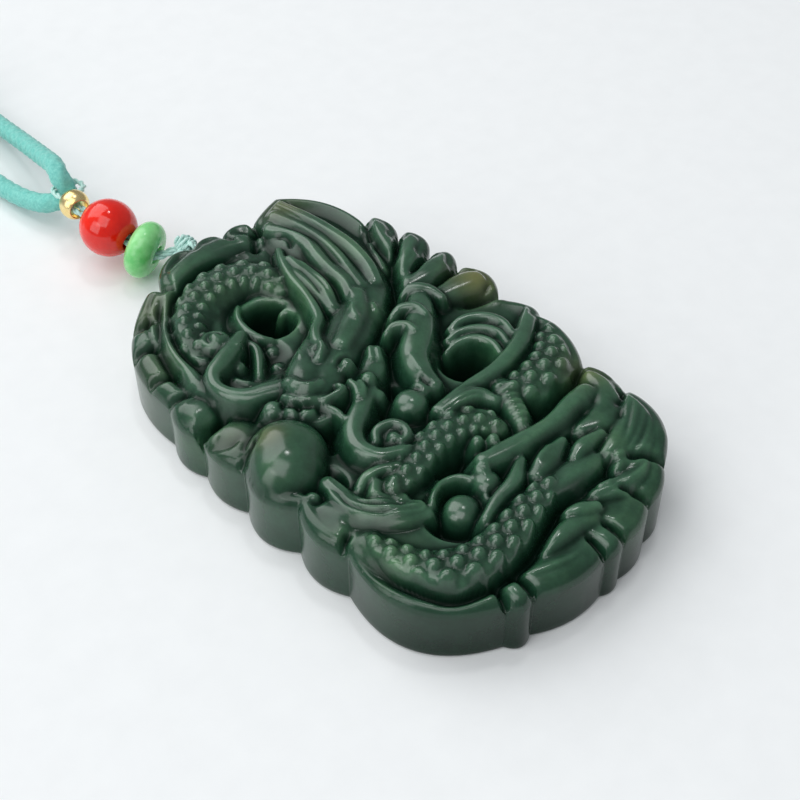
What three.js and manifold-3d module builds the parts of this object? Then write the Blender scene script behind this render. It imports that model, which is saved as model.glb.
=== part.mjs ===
// Jade pendant on a cord: a carved plaque with a coiled dragon in relief, three beads, a thread loop
// and a braided neck cord. Millimetres, +Z up. The plaque lies on its flat back, cord end towards +Y.
import * as THREE from "three";
import { mergeVertices } from "three/addons/utils/BufferGeometryUtils.js";
import Module from "manifold-3d";

const wasm = await Module();
wasm.setup();

// The carving is laid out from a mark that lies this far from the middle of the plaque's box.
const MIDDLE = [0.6, 1.0];

// Plaque: rim by bearing about the middle, with the wall's height and the radius of the rolled edge above it.
const RIM = [
  [-180, 6.0, 1.6], [-157, 6.2, 1.6], [-140, 6.0, 1.6], [-125, 5.6, 1.6], [-75, 5.5, 1.6], [-66, 6.6, 1.5],
  [-60, 7.2, 1.4], [-50, 7.0, 1.3], [-44, 6.5, 1.2], [-38, 7.0, 1.2], [-20, 7.2, 1.2], [-10, 6.7, 1.1],
  [0, 6.4, 1.1], [6, 6.9, 1.2], [55, 6.9, 1.2], [64, 7.0, 1.1], [105, 6.7, 1.1], [112, 6.7, 1.2],
  [122, 5.8, 1.5], [140, 5.4, 1.8], [180, 5.7, 1.7],
];
const RIM_SLOPE = 1.6;

// Ground between the carved forms, the forms' flanks, and the fineness of the carved face.
const GROUND = 7.2;
const GROUND_SLOPE = 0.35;
const LIFT_REACH = 1.6;
const FLANK_SLOPE = 2.2;
const ROUNDNESS = 0.8;
const CARVED_BOX = [39.4, 62.2];
const CARVED_STEP = 0.95;
const OUTLINE_STEP = 1.3;
const LINE_STEPS = 6;
const BLANK_HEIGHT = 12;
const NARROWEST = 0.6;

// Cord tunnel drilled as a U into the top edge.
const TUNNEL_RADIUS = 0.85;
const TUNNEL_HALF_WIDTH = 1.7;
const TUNNEL_DEPTH = 2.6;
const TUNNEL_MOUTH = [-1.4, 31.4, 4.6];
const TUNNEL_STEPS = 24;

// Beads on the thread, strung from the plaque outwards.
const BEAD_BORE_RADIUS = 1.08;
const GREEN = {
  radius: 3.4, thickness: 3.2, sides: 20, stops: 6, at: [-3.5, 37.8, 3.8], way: [-0.45, 0.85, 0.26],
};
const RED = { radius: 3.35, sides: 20, stops: 9, at: [-5.1, 42.5, 5.1] };
const GOLD = { radius: 1.75, sides: 16, stops: 6, at: [-6.1, 47.9, 5.9], way: [0.1, 1, 0] };

// Thread, neck cord and the coil that the rest of the neck cord is wound into.
const THREAD_RADIUS = 0.35;
const THREAD_SPACING = 0.86;
const THREAD_KNOT = [0.1, 34.9, 4.3];
const THREAD_STEPS = 66;
const THREAD_SIDES = 8;
const CORD_RADIUS = 1.2;
const CORD_SIDES = 8;
const CORD_STEPS = 30;
const COIL_MIDDLE = [-16, 89];
const COIL_MEAN_RADIUS = 12;
const COIL_LIFT = 0.8;
const COIL_ROWS = 3;
const COIL_LAYERS = 2;
const COIL_SIDES = 30;
const COIL_ROUND = 0.66;
const TIE_BEARINGS = [60, 190];
const TIE_THICKNESS = 0.5;
const TIE_WIDTH = 3;
const GAP = 0.3;
const THREAD_HUG = CORD_RADIUS + THREAD_RADIUS + 0.7 * GAP;
const FOLD_WRAP = [110, 75, 40, 0, -40, -75, -110];

// Neck cord: folded round the thread beyond the gold bead, both strands running down to the coil.
const CORD_FOLD = [-4.7, 51.5, 5.5];
const CORD_UPPER = [
  [-4.8, 51.6, 5.7], [-4.8, 51.62, 6.2], [-5.2, 52.1, 7.0], [-4.6, 54.1, 7.3], [-4.0, 57.5, 6.4],
  [-3.0, 64.1, 4.6], [-2.2, 72.7, 2.9], [-1.8, 76.5, 2.3], [-1.6, 79.6, 1.9],
];
const CORD_LOWER = [
  [-4.8, 51.6, 5.3], [-4.8, 51.62, 4.8], [-5.4, 52.3, 3.9], [-6.8, 53.7, 3.2], [-7.7, 57.0, 2.4],
  [-8.1, 60.5, 1.9], [-8.2, 62.6, 1.7], [-8.6, 66.2, 1.6], [-9.7, 69.6, 2.4], [-12.0, 72.2, 3.6],
];

const JADE = new THREE.MeshStandardMaterial({ color: 0x35493b, roughness: 0.3 });
const RED_STONE = new THREE.MeshStandardMaterial({ color: 0xd01d0b, roughness: 0.15 });
const GREEN_STONE = new THREE.MeshStandardMaterial({ color: 0x68c57c, roughness: 0.2 });
const GILT = new THREE.MeshStandardMaterial({ color: 0xd9b04a, roughness: 0.15, metalness: 1 });
const PALE_THREAD = new THREE.MeshStandardMaterial({ color: 0xbfe6de, roughness: 0.7 });
const TEAL_BRAID = new THREE.MeshStandardMaterial({ color: 0x6fccc3, roughness: 0.8 });

// Outline of the plaque, counterclockwise from the cord notch: each corner is a crease or a tip,
// with the bulge of the arc from it to the next corner.
const OUTLINE = [
  [-1.9, 30.4, 0.3], [-4.2, 31.2, 0.8], [-8.4, 26.9, 0.4], [-10.2, 27.4, 2.6],
  [-17.3, 13.2, 0.9], [-17.5, 7.5, 0.9], [-17.3, 1.0, 1.4], [-16.7, -6.3, 1.1],
  [-16.6, -13.4, 3.4], [-10.0, -26.9, 0.8], [-7.3, -27.6, 0.8], [0.6, -28.9, 0.5],
  [3.3, -28.7, 0.6], [8.3, -27.4, 0.6], [12.4, -25.6, 1.9], [17.1, -16.3, 0.8],
  [16.5, -11.4, 0.9], [18.7, -3.3, 0.3], [19.4, -1.2, 0.2], [17.8, 2.0, 1.7],
  [17.8, 8.4, 1.7], [16.7, 12.1, 0.9], [18.4, 15.8, 0.6], [16.4, 16.5, 0.6],
  [17.3, 20.2, 0.6], [15.4, 21.1, 1.6], [10.6, 31.3, 0.2], [5.9, 29.4, 0.8],
  [2.0, 30.1, 0.9],
];

// Rounded ridges of the carving: crest height at both ends, half width, and the points they run through.
const RIDGES = {
  cloudLong: [7.0, 7.0, 1.3, [-15.3, 19.8], [-16.1, 16.6], [-16.3, 14.2]],
  cloudInner: [7.4, 7.4, 1.0, [-13.1, 16.4], [-14.1, 14.0], [-14.7, 11.9]],
  coilRim: [7.9, 8.1, 1.5, [-14.0, 11.6], [-13.2, 18.6], [-10.2, 24.3], [-4.7, 27.7], [2.4, 27.9]],
  coilBody: [8.3, 8.6, 3.0, [-10.8, 16.3], [-9.4, 21.2], [-3.8, 23.4], [0.7, 21.2], [1.6, 19.0]],
  whisker: [8.8, 9.0, 1.2, [-7.3, 15.2], [-11.6, 12.6], [-13.2, 10.0], [-11.4, 7.3], [-8.6, 6.2]],
  holeCrescent: [7.9, 7.9, 0.6, [-4.2, 19.0], [-5.7, 15.6], [-5.0, 12.8]],
  holeCurl: [6.7, 7.4, 0.7, [-0.6, 16.2], [0.4, 14.6], [-0.1, 13.0], [-0.8, 11.7]],
  brow: [9.9, 9.7, 1.6, [-7.1, 5.2], [-3.4, 7.5], [0.4, 11.0]],
  forehead: [10.1, 9.7, 1.7, [-4.3, 3.9], [0.6, 6.7], [5.6, 11.0]],
  cheek: [9.2, 9.1, 1.4, [-5.1, 1.3], [-1.6, 2.1], [1.4, 3.5]],
  mane: [9.1, 8.7, 4.8, [6.0, 10.4], [8.0, 16.0], [8.6, 22.0], [8.6, 27.6]],
  lockInner: [9.6, 8.6, 0.9, [0.4, 11.0], [2.0, 16.4], [4.5, 22.7]],
  lockLeaf: [9.4, 9.0, 0.8, [2.3, 10.7], [5.0, 16.6], [4.7, 20.8]],
  lockMiddle: [9.7, 8.3, 1.0, [4.8, 10.0], [6.5, 16.6], [7.2, 22.0], [6.1, 28.0]],
  lockLong: [9.7, 8.2, 0.9, [6.8, 10.6], [8.6, 17.6], [8.6, 24.0], [8.1, 29.3]],
  lockBroad: [9.7, 8.4, 1.2, [8.5, 11.1], [10.1, 18.0], [10.1, 24.0], [9.8, 29.8]],
  lockOuter: [8.5, 7.9, 1.4, [11.2, 12.8], [12.8, 19.4], [12.8, 25.0], [11.6, 28.9]],
  finTop: [8.5, 8.5, 1.4, [12.1, 13.1], [14.0, 16.2], [15.8, 19.8]],
  finUpper: [8.5, 8.5, 1.5, [12.2, 11.4], [15.0, 13.2], [17.1, 15.4]],
  finMiddle: [8.6, 8.6, 1.8, [11.8, 9.6], [15.0, 9.4], [17.8, 9.7]],
  finLower: [8.6, 8.6, 1.9, [12.8, 6.0], [15.8, 5.4], [18.0, 4.9]],
  leg: [9.4, 9.3, 1.7, [11.0, 7.2], [7.4, 3.2], [3.9, 0.2], [2.4, -3.9]],
  kneeSmall: [9.3, 9.8, 0.6, [3.9, 4.4], [5.3, 4.1], [5.9, 2.4]],
  kneeMiddle: [9.3, 9.7, 0.7, [6.0, 5.9], [7.9, 5.7], [8.5, 3.5]],
  kneeLarge: [8.9, 9.0, 0.8, [9.5, 8.3], [11.7, 7.5], [12.4, 4.9]],
  spine: [8.9, 8.0, 0.9, [0.5, -6.7], [8.5, -6.8], [14.2, -5.0], [19.0, -1.4]],
  bodyRight: [9.2, 8.6, 2.9, [7.4, -9.6], [12.0, -10.0], [15.5, -8.1], [17.7, -5.6]],
  belly: [9.0, 8.4, 1.2, [7.6, -8.8], [6.6, -11.3], [5.8, -13.6]],
  leaf: [9.1, 9.2, 0.9, [0.6, -7.4], [3.7, -7.7], [5.5, -9.7]],
  bodyMiddle: [8.8, 8.9, 2.0, [-9.2, -11.0], [-3.1, -9.6], [0.6, -9.6], [3.4, -11.8]],
  stem: [9.1, 9.3, 1.2, [-2.6, -0.4], [-6.6, -2.9], [-8.6, -5.6], [-5.7, -8.7]],
  scroll: [8.6, 8.6, 0.8, [-7.3, -9.6], [-9.8, -8.8], [-11.1, -11.0], [-9.2, -12.7]],
  ribbon: [8.4, 8.4, 1.4, [-13.1, -6.4], [-13.2, -10.0], [-11.4, -12.8], [-8.9, -14.2]],
  shoulder: [7.7, 7.9, 1.3, [-15.0, -8.4], [-12.3, -12.5], [-8.6, -15.1]],
  arm: [9.4, 9.5, 1.8, [-0.8, -14.8], [5.6, -15.8], [12.8, -14.9]],
  knuckle: [8.5, 8.9, 1.1, [15.6, -13.5], [14.6, -15.9], [11.5, -17.5]],
  thigh: [8.8, 8.6, 1.3, [9.5, -17.7], [11.8, -18.6], [14.4, -18.2]],
  bodyBottom: [8.3, 9.3, 2.4, [-14.4, -14.2], [-13.6, -19.4], [-8.4, -22.4], [-2.3, -21.7], [1.5, -20.9]],
  rimCrescent: [7.4, 7.4, 1.0, [-16.1, -13.2], [-17.0, -17.4], [-15.4, -22.5]],
  lowerBand: [7.9, 8.7, 1.2, [-15.8, -18.1], [-13.4, -23.8], [-7.6, -24.9], [-1.0, -23.4], [4.9, -22.1]],
  upperBand: [8.8, 9.1, 0.8, [-5.7, -19.8], [-1.6, -18.6], [1.8, -16.9]],
  flank: [9.0, 9.0, 1.2, [1.6, -19.2], [6.2, -17.6]],
  tailPlain: [8.9, 8.7, 1.6, [1.1, -21.1], [7.1, -21.1]],
  tailSmall: [9.0, 9.0, 0.9, [5.7, -20.0], [7.3, -19.6], [9.8, -19.7]],
  tailMiddle: [8.8, 8.8, 0.9, [8.1, -21.6], [12.3, -20.1]],
  tailLarge: [8.8, 8.6, 1.6, [9.4, -22.3], [13.8, -20.6], [17.7, -16.9]],
  tailLow: [8.3, 8.2, 1.4, [8.5, -23.1], [13.0, -22.8], [17.5, -19.1]],
  tailEnd: [7.9, 7.8, 1.2, [4.8, -23.9], [9.6, -24.6], [14.3, -22.7]],
  leafLow: [7.9, 8.0, 1.0, [-3.7, -25.2], [-0.9, -25.0], [2.5, -25.6]],
  leafLowest: [8.2, 8.1, 0.8, [0.7, -23.8], [2.1, -24.4], [3.5, -25.0]],
  rimLeaf: [7.2, 7.3, 0.9, [-6.5, -25.9], [-4.6, -26.9], [-2.0, -27.8]],
};

// Concentric arcs round the right-hand recess, and the spirals: middle, radius, sweep, crest, half width.
const RECESS_ARCS = {
  middle: [8.9, -3.6], radii: [3.0, 4.2, 5.4], from: 105, to: -30, crest: 8.4, half: 0.6,
};
const SPIRALS = {
  stemSpiral: { middle: [-5.2, -6.3], outer: 2.3, inner: 0.5, from: 200, turns: 1.4, crest: 9.4, half: 0.6 },
  coilSpiral: { middle: [-9.4, 16.0], outer: 1.8, inner: 0.5, from: 100, turns: 1.2, crest: 8.9, half: 0.5 },
};

// Domes: place, crest height, radius.
const DOMES = {
  snout: [-7.4, 3.4, 10.2, 2.5],
  chin: [-10.8, 4.1, 8.6, 1.3],
  eye: [-2.4, 3.2, 10.3, 1.0],
  foot: [-0.6, -3.8, 9.3, 1.6],
  toe: [1.3, -3.4, 9.0, 0.8],
  smallPearl: [-5.8, -16.8, 8.2, 1.9],
  hand: [-2.2, -16.5, 8.9, 1.4],
  rimBall: [-15.0, -6.6, 7.7, 1.0],
  cloudUpper: [-11.2, 25.1, 7.4, 1.5],
  cloudLower: [-13.6, 22.0, 7.2, 1.5],
};

// Half balls that run out to the wall: place, far end, base, radius, height.
const BALLS = {
  pearl: [-13.3, -0.6, -14.3, -1.6, 5.8, 4.2, 4.3],
  lobeUpper: [-15.8, 10.2, -16.6, 10.3, 5.2, 2.3, 2.3],
  lobeLower: [-15.2, 4.5, -16.0, 4.4, 5.2, 3.2, 1.7],
  shoulder: [-14.9, -9.7, -15.5, -10.0, 5.8, 3.1, 1.9],
  ballBottom: [-8.6, -26.2, -8.8, -28.4, 5.2, 1.4, 1.8],
  ballRight: [1.9, -27.6, 2.0, -29.6, 5.2, 1.4, 1.8],
};

// Hollows sunk below the ground: place, radius, depth.
const HOLLOWS = {
  coilHole: [-2.6, 15.7, 3.1, 6.0],
  field: [-7.2, 11.6, 3.4, 1.0],
  recess: [8.6, -2.8, 3.2, 5.0],
  neckGap: [2.8, 2.6, 1.7, 2.6],
  throatGap: [-1.6, -1.0, 2.2, 2.2],
  chinGap: [-12.8, 7.2, 2.6, 2.2],
  lobeBed: [-15.6, 7.4, 4.0, 2.2],
  pearlGap: [-9.4, -1.4, 2.4, 1.6],
  pearlFoot: [-13.2, -6.0, 2.4, 1.6],
  pearlSocket: [-6.2, -16.8, 3.6, 3.2],
  handGap: [-2.6, -12.6, 2.2, 2.6],
  elbowGap: [8.6, -13.4, 2.2, 1.8],
};

// A point list along the arc from one corner to the next, bulging to the right of the way.
function bow(from, to, bulge, step) {
  const chord = new THREE.Vector2(to[0] - from[0], to[1] - from[1]);
  const count = Math.max(2, Math.ceil(chord.length() / step));
  const side = new THREE.Vector2(chord.y, -chord.x).normalize();
  const points = [];
  for (let i = 0; i < count; i += 1) {
    const t = i / count;
    const rise = 4 * bulge * t * (1 - t);
    const point = new THREE.Vector2(...from).addScaledVector(chord, t).addScaledVector(side, rise);
    points.push(point);
  }
  return points;
}

function outlinePoints() {
  return OUTLINE.flatMap((corner, i) => {
    const next = OUTLINE[(i + 1) % OUTLINE.length];
    return bow(corner, next, corner[2], OUTLINE_STEP);
  });
}

// Nearest place on a polyline: its distance and how far along the line it is, from 0 to 1.
function nearest(x, y, line) {
  const best = { distance: Infinity, along: 0 };
  for (let i = 0; i + 1 < line.length; i += 1) {
    const a = line[i];
    const dx = line[i + 1].x - a.x;
    const dy = line[i + 1].y - a.y;
    const t = THREE.MathUtils.clamp(((x - a.x) * dx + (y - a.y) * dy) / (dx * dx + dy * dy), 0, 1);
    const distance = Math.hypot(x - a.x - t * dx, y - a.y - t * dy);
    if (distance < best.distance) {
      best.distance = distance;
      best.along = (i + t) / (line.length - 1);
    }
  }
  return best;
}

// Height of a rounded form at a distance from its crest, with a steep flank past its half width.
function rounded(crest, half, distance) {
  const across = Math.min(distance / half, 1);
  const drop = half * ROUNDNESS * (1 - Math.sqrt(1 - across * across));
  return crest - drop - FLANK_SLOPE * Math.max(0, distance - half);
}

function smoothLine(points) {
  const curve = new THREE.CatmullRomCurve3(points.map(([x, y]) => new THREE.Vector3(x, y, 0)));
  return curve.getPoints(LINE_STEPS * (points.length - 1));
}

function polar(middle, radius, degrees) {
  const angle = THREE.MathUtils.degToRad(degrees);
  return [middle[0] + radius * Math.cos(angle), middle[1] + radius * Math.sin(angle)];
}

// Every raised line of the carving as a polyline with its crest heights and half width.
function carvedLines() {
  const lines = Object.values(RIDGES).map(([start, end, half, ...points]) => {
    return { start, end, half, line: smoothLine(points) };
  });
  for (const radius of RECESS_ARCS.radii) {
    const { middle, from, to, crest, half } = RECESS_ARCS;
    const stops = [0, 0.33, 0.67, 1].map((t) => polar(middle, radius, from + (to - from) * t));
    lines.push({ start: crest, end: crest, half, line: smoothLine(stops) });
  }
  for (const { middle, outer, inner, from, turns, crest, half } of Object.values(SPIRALS)) {
    const stops = [];
    for (let t = 0; t <= 1.001; t += 0.125) {
      stops.push(polar(middle, outer + (inner - outer) * t, from - 360 * turns * t));
    }
    lines.push({ start: crest, end: crest, half, line: smoothLine(stops) });
  }
  return lines;
}

// Half width along a ridge: full in the middle, drawn in towards both ends.
function taper(half, along) {
  return half * (NARROWEST + (1 - NARROWEST) * Math.sin(Math.PI * along));
}

// Wall height and roll radius of the rim at the bearing of a place.
function rimAt(x, y) {
  const bearing = THREE.MathUtils.radToDeg(Math.atan2(y - MIDDLE[1], x - MIDDLE[0]));
  const next = RIM.findIndex(([stop], i) => i > 0 && bearing <= stop);
  const [low, high] = [RIM[next - 1], RIM[next]];
  const share = (bearing - low[0]) / (high[0] - low[0]);
  const between = (k) => THREE.MathUtils.lerp(low[k], high[k], share);
  return { wall: between(1), roll: between(2) };
}

// Height of the carved face: the highest form at each place, over a ground with hollows, held in by the rim.
function carvedHeight(x, y, lines, outline) {
  const { wall, roll } = rimAt(x, y);
  const inset = nearest(x, y, outline).distance;
  const brink = wall + roll;
  const lift = Math.max(0, brink - GROUND) * Math.exp(-((inset / LIFT_REACH) ** 2));
  let height = Math.min(GROUND + lift, brink + GROUND_SLOPE * (inset - roll));
  for (const [hx, hy, radius, depth] of Object.values(HOLLOWS)) {
    const near = Math.hypot(x - hx, y - hy) / radius;
    if (near < 1) height -= depth * (1 - near * near);
  }
  for (const { start, end, half, line } of lines) {
    const { distance, along } = nearest(x, y, line);
    height = Math.max(height, rounded(start + (end - start) * along, taper(half, along), distance));
  }
  for (const [dx, dy, crest, radius] of Object.values(DOMES)) {
    height = Math.max(height, rounded(crest, radius, Math.hypot(x - dx, y - dy)));
  }
  const edge = Math.sqrt(roll ** 2 - (roll - Math.min(inset, roll)) ** 2);
  height = Math.min(height, wall + edge + RIM_SLOPE * Math.max(0, inset - roll));
  for (const [bx, by, farX, farY, base, radius, rise] of Object.values(BALLS)) {
    const near = nearest(x, y, [{ x: bx, y: by }, { x: farX, y: farY }]).distance / radius;
    if (near >= 1) continue;
    const inward = Math.min(inset / radius, 1);
    const share = Math.min(1 - near ** 2, 1 - (1 - inward) ** 2);
    height = Math.max(height, base + rise * Math.sqrt(share));
  }
  return height;
}

function inside(x, y, outline) {
  let within = false;
  outline.forEach((a, i) => {
    const b = outline[(i + 1) % outline.length];
    const crosses = a.y > y !== b.y > y;
    if (crosses && x < ((b.x - a.x) * (y - a.y)) / (b.y - a.y) + a.x) within = !within;
  });
  return within;
}

function toSolid(geometry) {
  const bare = geometry.clone();
  bare.deleteAttribute("normal");
  bare.deleteAttribute("uv");
  const merged = mergeVertices(bare, 1e-4);
  const vertProperties = new Float32Array(merged.attributes.position.array);
  const triVerts = new Uint32Array(merged.index.array);
  return new wasm.Manifold(new wasm.Mesh({ numProp: 3, vertProperties, triVerts }));
}

function toGeometry(solid) {
  const { vertProperties, triVerts } = solid.getMesh();
  const geometry = new THREE.BufferGeometry();
  geometry.setAttribute("position", new THREE.BufferAttribute(vertProperties, 3));
  geometry.setIndex(new THREE.BufferAttribute(triVerts, 1));
  geometry.computeVertexNormals();
  return geometry;
}

function disc(radius) {
  const shape = new THREE.Shape();
  for (let i = 0; i < CORD_SIDES; i += 1) {
    const [x, y] = polar([0, 0], radius, (360 * i) / CORD_SIDES);
    if (i === 0) shape.moveTo(x, y);
    else shape.lineTo(x, y);
  }
  return shape;
}

function tube(points, radius, steps) {
  const path = new THREE.CatmullRomCurve3(points.map((p) => new THREE.Vector3(...p)));
  return new THREE.ExtrudeGeometry(disc(radius), { steps, bevelEnabled: false, extrudePath: path });
}

// The tunnel's U: in at one mouth, round inside the jade, out at the other mouth.
function tunnelRoute() {
  const [x, y, z] = TUNNEL_MOUTH;
  const route = [[x - TUNNEL_HALF_WIDTH, y, z]];
  for (const degrees of [180, 216, 252, 288, 324, 360]) {
    const [ux, uy] = polar([x, y - TUNNEL_DEPTH], TUNNEL_HALF_WIDTH, degrees);
    route.push([ux, uy, z]);
  }
  route.push([x + TUNNEL_HALF_WIDTH, y, z]);
  return route;
}

function plaque() {
  const outline = outlinePoints();
  const rim = [...outline, outline[0]];
  const lines = carvedLines();
  const [width, length] = CARVED_BOX;
  const columns = Math.round(width / CARVED_STEP);
  const rows = Math.round(length / CARVED_STEP);
  const block = new THREE.BoxGeometry(width, length, 2, columns, rows);
  block.translate(MIDDLE[0], MIDDLE[1], 0);
  const position = block.attributes.position;
  for (let i = 0; i < position.count; i += 1) {
    if (position.getZ(i) < 0) continue;
    const x = position.getX(i);
    const y = position.getY(i);
    position.setZ(i, inside(x, y, outline) ? carvedHeight(x, y, lines, rim) : rimAt(x, y).wall);
  }
  const shape = new THREE.Shape(outline);
  const blank = new THREE.ExtrudeGeometry(shape, { depth: BLANK_HEIGHT, bevelEnabled: false });
  const carved = toSolid(blank).intersect(toSolid(block).asOriginal());
  const tunnel = toSolid(tube(tunnelRoute(), TUNNEL_RADIUS, TUNNEL_STEPS));
  return toGeometry(carved.subtract(tunnel));
}

// A bead turned about its bore: the outer profile from end to end, closed along the bore.
function bead(profile, sides) {
  const points = profile.map(([radius, along]) => new THREE.Vector2(radius, along));
  points.push(points[0].clone());
  return new THREE.LatheGeometry(points, sides);
}

function roundBead({ radius, sides, stops }) {
  const mouth = Math.asin(BEAD_BORE_RADIUS / radius);
  const profile = [];
  for (let i = 0; i <= stops; i += 1) {
    const angle = Math.PI - mouth - (i / stops) * (Math.PI - 2 * mouth);
    profile.push([radius * Math.sin(angle), radius * Math.cos(angle)]);
  }
  return bead(profile, sides);
}

function abacusBead({ radius, thickness, sides, stops }) {
  const half = thickness / 2;
  const profile = [[BEAD_BORE_RADIUS, -half]];
  for (let i = 0; i <= stops; i += 1) {
    const angle = (i / stops - 0.5) * Math.PI;
    profile.push([radius - half + half * Math.cos(angle), half * Math.sin(angle)]);
  }
  profile.push([BEAD_BORE_RADIUS, half]);
  return bead(profile, sides);
}

// Directions of the bores.
const GREEN_WAY = new THREE.Vector3(...GREEN.way).normalize();
const RED_WAY = new THREE.Vector3(...GOLD.at).sub(new THREE.Vector3(...GREEN.at)).normalize();
const GOLD_WAY = new THREE.Vector3(...GOLD.way).normalize();

function strung(name, geometry, at, way, material) {
  const mesh = new THREE.Mesh(geometry, material);
  mesh.name = name;
  mesh.position.set(...at);
  mesh.quaternion.setFromUnitVectors(new THREE.Vector3(0, 1, 0), way);
  return mesh;
}

function placed(name, geometry, material) {
  const mesh = new THREE.Mesh(geometry, material);
  mesh.name = name;
  return mesh;
}

// The thread's closed loop: through the plaque, both strands through the beads, and round the neck cord.
function threadRoute() {
  const sideways = (way) => new THREE.Vector3().crossVectors(way, new THREE.Vector3(0, 0, 1)).normalize();
  const beside = (at, way, along, aside) => {
    return new THREE.Vector3(...at).addScaledVector(way, along).addScaledVector(sideways(way), aside);
  };
  const strand = (aside) => [
    beside(THREAD_KNOT, GREEN_WAY, 0, aside),
    beside(GREEN.at, GREEN_WAY, -GREEN.thickness / 2, aside),
    beside(GREEN.at, GREEN_WAY, GREEN.thickness / 2, aside),
    beside(RED.at, RED_WAY, -0.9 * RED.radius, aside),
    beside(RED.at, RED_WAY, 0.9 * RED.radius, aside),
    beside(GOLD.at, GOLD_WAY, -0.8 * GOLD.radius, aside),
    beside(GOLD.at, GOLD_WAY, 0.8 * GOLD.radius, aside),
  ];
  const fold = new THREE.Vector3(...CORD_FOLD);
  const onward = fold.clone().sub(new THREE.Vector3(...GOLD.at)).normalize();
  const wrap = FOLD_WRAP.map((degrees) => {
    const [along, aside] = polar([0, 0], THREAD_HUG, degrees);
    return fold.clone().addScaledVector(onward, along).addScaledVector(sideways(onward), aside);
  });
  const tunnel = tunnelRoute().map((p) => new THREE.Vector3(...p));
  const [x, y, z] = TUNNEL_MOUTH;
  const left = new THREE.Vector3(x - TUNNEL_HALF_WIDTH, y + 2 * TUNNEL_RADIUS, z);
  const right = new THREE.Vector3(x + 0.8 * TUNNEL_HALF_WIDTH, y + 2 * TUNNEL_RADIUS, z + TUNNEL_RADIUS);
  const apart = THREAD_SPACING / 2;
  return [...tunnel, right, ...strand(apart), ...wrap, ...strand(-apart).reverse(), left];
}

function threadLoop() {
  const path = new THREE.CatmullRomCurve3(threadRoute(), true);
  return new THREE.TubeGeometry(path, THREAD_STEPS, THREAD_RADIUS, THREAD_SIDES, true);
}

function coilRing() {
  const half = COIL_ROWS * CORD_RADIUS;
  const height = 2 * COIL_LAYERS * CORD_RADIUS;
  const round = COIL_ROUND;
  const inner = COIL_MEAN_RADIUS - half;
  const outer = COIL_MEAN_RADIUS + half;
  const profile = [
    [inner + round, 0], [outer - round, 0], [outer, round], [outer, height - round],
    [outer - round, height], [inner + round, height], [inner, height - round], [inner, round],
  ];
  const ring = bead(profile, COIL_SIDES);
  ring.rotateX(Math.PI / 2);
  ring.translate(COIL_MIDDLE[0], COIL_MIDDLE[1], COIL_LIFT);
  return ring;
}

// A tie: a flat band round the coil's section, standing at one bearing of the ring.
function tie(degrees) {
  const half = COIL_ROWS * CORD_RADIUS + GAP;
  const low = COIL_LIFT - GAP;
  const high = COIL_LIFT + 2 * COIL_LAYERS * CORD_RADIUS + GAP;
  const band = new THREE.Shape();
  const frame = (path, side, bottom, top) => {
    path.moveTo(-side, bottom);
    path.lineTo(side, bottom);
    path.lineTo(side, top);
    path.lineTo(-side, top);
    path.closePath();
    return path;
  };
  frame(band, half + TIE_THICKNESS, low - TIE_THICKNESS, high + TIE_THICKNESS);
  band.holes.push(frame(new THREE.Path(), half, low, high));
  const geometry = new THREE.ExtrudeGeometry(band, { depth: TIE_WIDTH, bevelEnabled: false });
  geometry.translate(0, 0, -TIE_WIDTH / 2);
  geometry.rotateX(Math.PI / 2);
  geometry.translate(COIL_MEAN_RADIUS, 0, 0);
  geometry.rotateZ(THREE.MathUtils.degToRad(degrees));
  geometry.translate(COIL_MIDDLE[0], COIL_MIDDLE[1], 0);
  return geometry;
}

const pendant = new THREE.Group();
pendant.position.set(-MIDDLE[0], -MIDDLE[1], 0);
pendant.add(placed("jade_plaque", plaque(), JADE));
pendant.add(strung("green_bead", abacusBead(GREEN), GREEN.at, GREEN_WAY, GREEN_STONE));
pendant.add(strung("red_bead", roundBead(RED), RED.at, RED_WAY, RED_STONE));
pendant.add(strung("gold_bead", roundBead(GOLD), GOLD.at, GOLD_WAY, GILT));
pendant.add(placed("thread_loop", threadLoop(), PALE_THREAD));
pendant.add(placed("neck_cord_upper", tube(CORD_UPPER, CORD_RADIUS, CORD_STEPS), TEAL_BRAID));
pendant.add(placed("neck_cord_lower", tube(CORD_LOWER, CORD_RADIUS, CORD_STEPS), TEAL_BRAID));
pendant.add(placed("neck_cord_coil", coilRing(), TEAL_BRAID));
TIE_BEARINGS.forEach((bearing, i) => {
  pendant.add(placed(`coil_tie_${i + 1}`, tie(bearing), PALE_THREAD));
});

export default pendant;
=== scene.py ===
"""Jade pendant on a braided neck cord: looks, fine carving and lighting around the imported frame."""
import math

import bpy
import numpy as np
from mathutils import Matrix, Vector


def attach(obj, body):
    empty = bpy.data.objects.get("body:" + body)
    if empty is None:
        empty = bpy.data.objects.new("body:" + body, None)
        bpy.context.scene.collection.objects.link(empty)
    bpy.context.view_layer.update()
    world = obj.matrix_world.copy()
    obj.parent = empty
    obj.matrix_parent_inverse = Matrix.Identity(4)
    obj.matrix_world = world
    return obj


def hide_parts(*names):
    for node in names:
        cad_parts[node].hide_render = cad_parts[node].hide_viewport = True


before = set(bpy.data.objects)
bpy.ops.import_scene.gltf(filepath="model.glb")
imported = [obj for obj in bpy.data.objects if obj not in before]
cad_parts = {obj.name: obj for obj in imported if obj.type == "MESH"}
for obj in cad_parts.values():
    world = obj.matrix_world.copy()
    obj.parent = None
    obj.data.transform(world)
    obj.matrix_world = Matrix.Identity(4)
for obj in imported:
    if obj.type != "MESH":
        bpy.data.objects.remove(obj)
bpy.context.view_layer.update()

MM = 0.001
BODY = "root"
UP = (0.0, 0.0, 1.0)

# Places are in millimetres of the carving's layout, in which the plaque's middle lies here.
MIDDLE = (0.6, 1.0)

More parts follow.
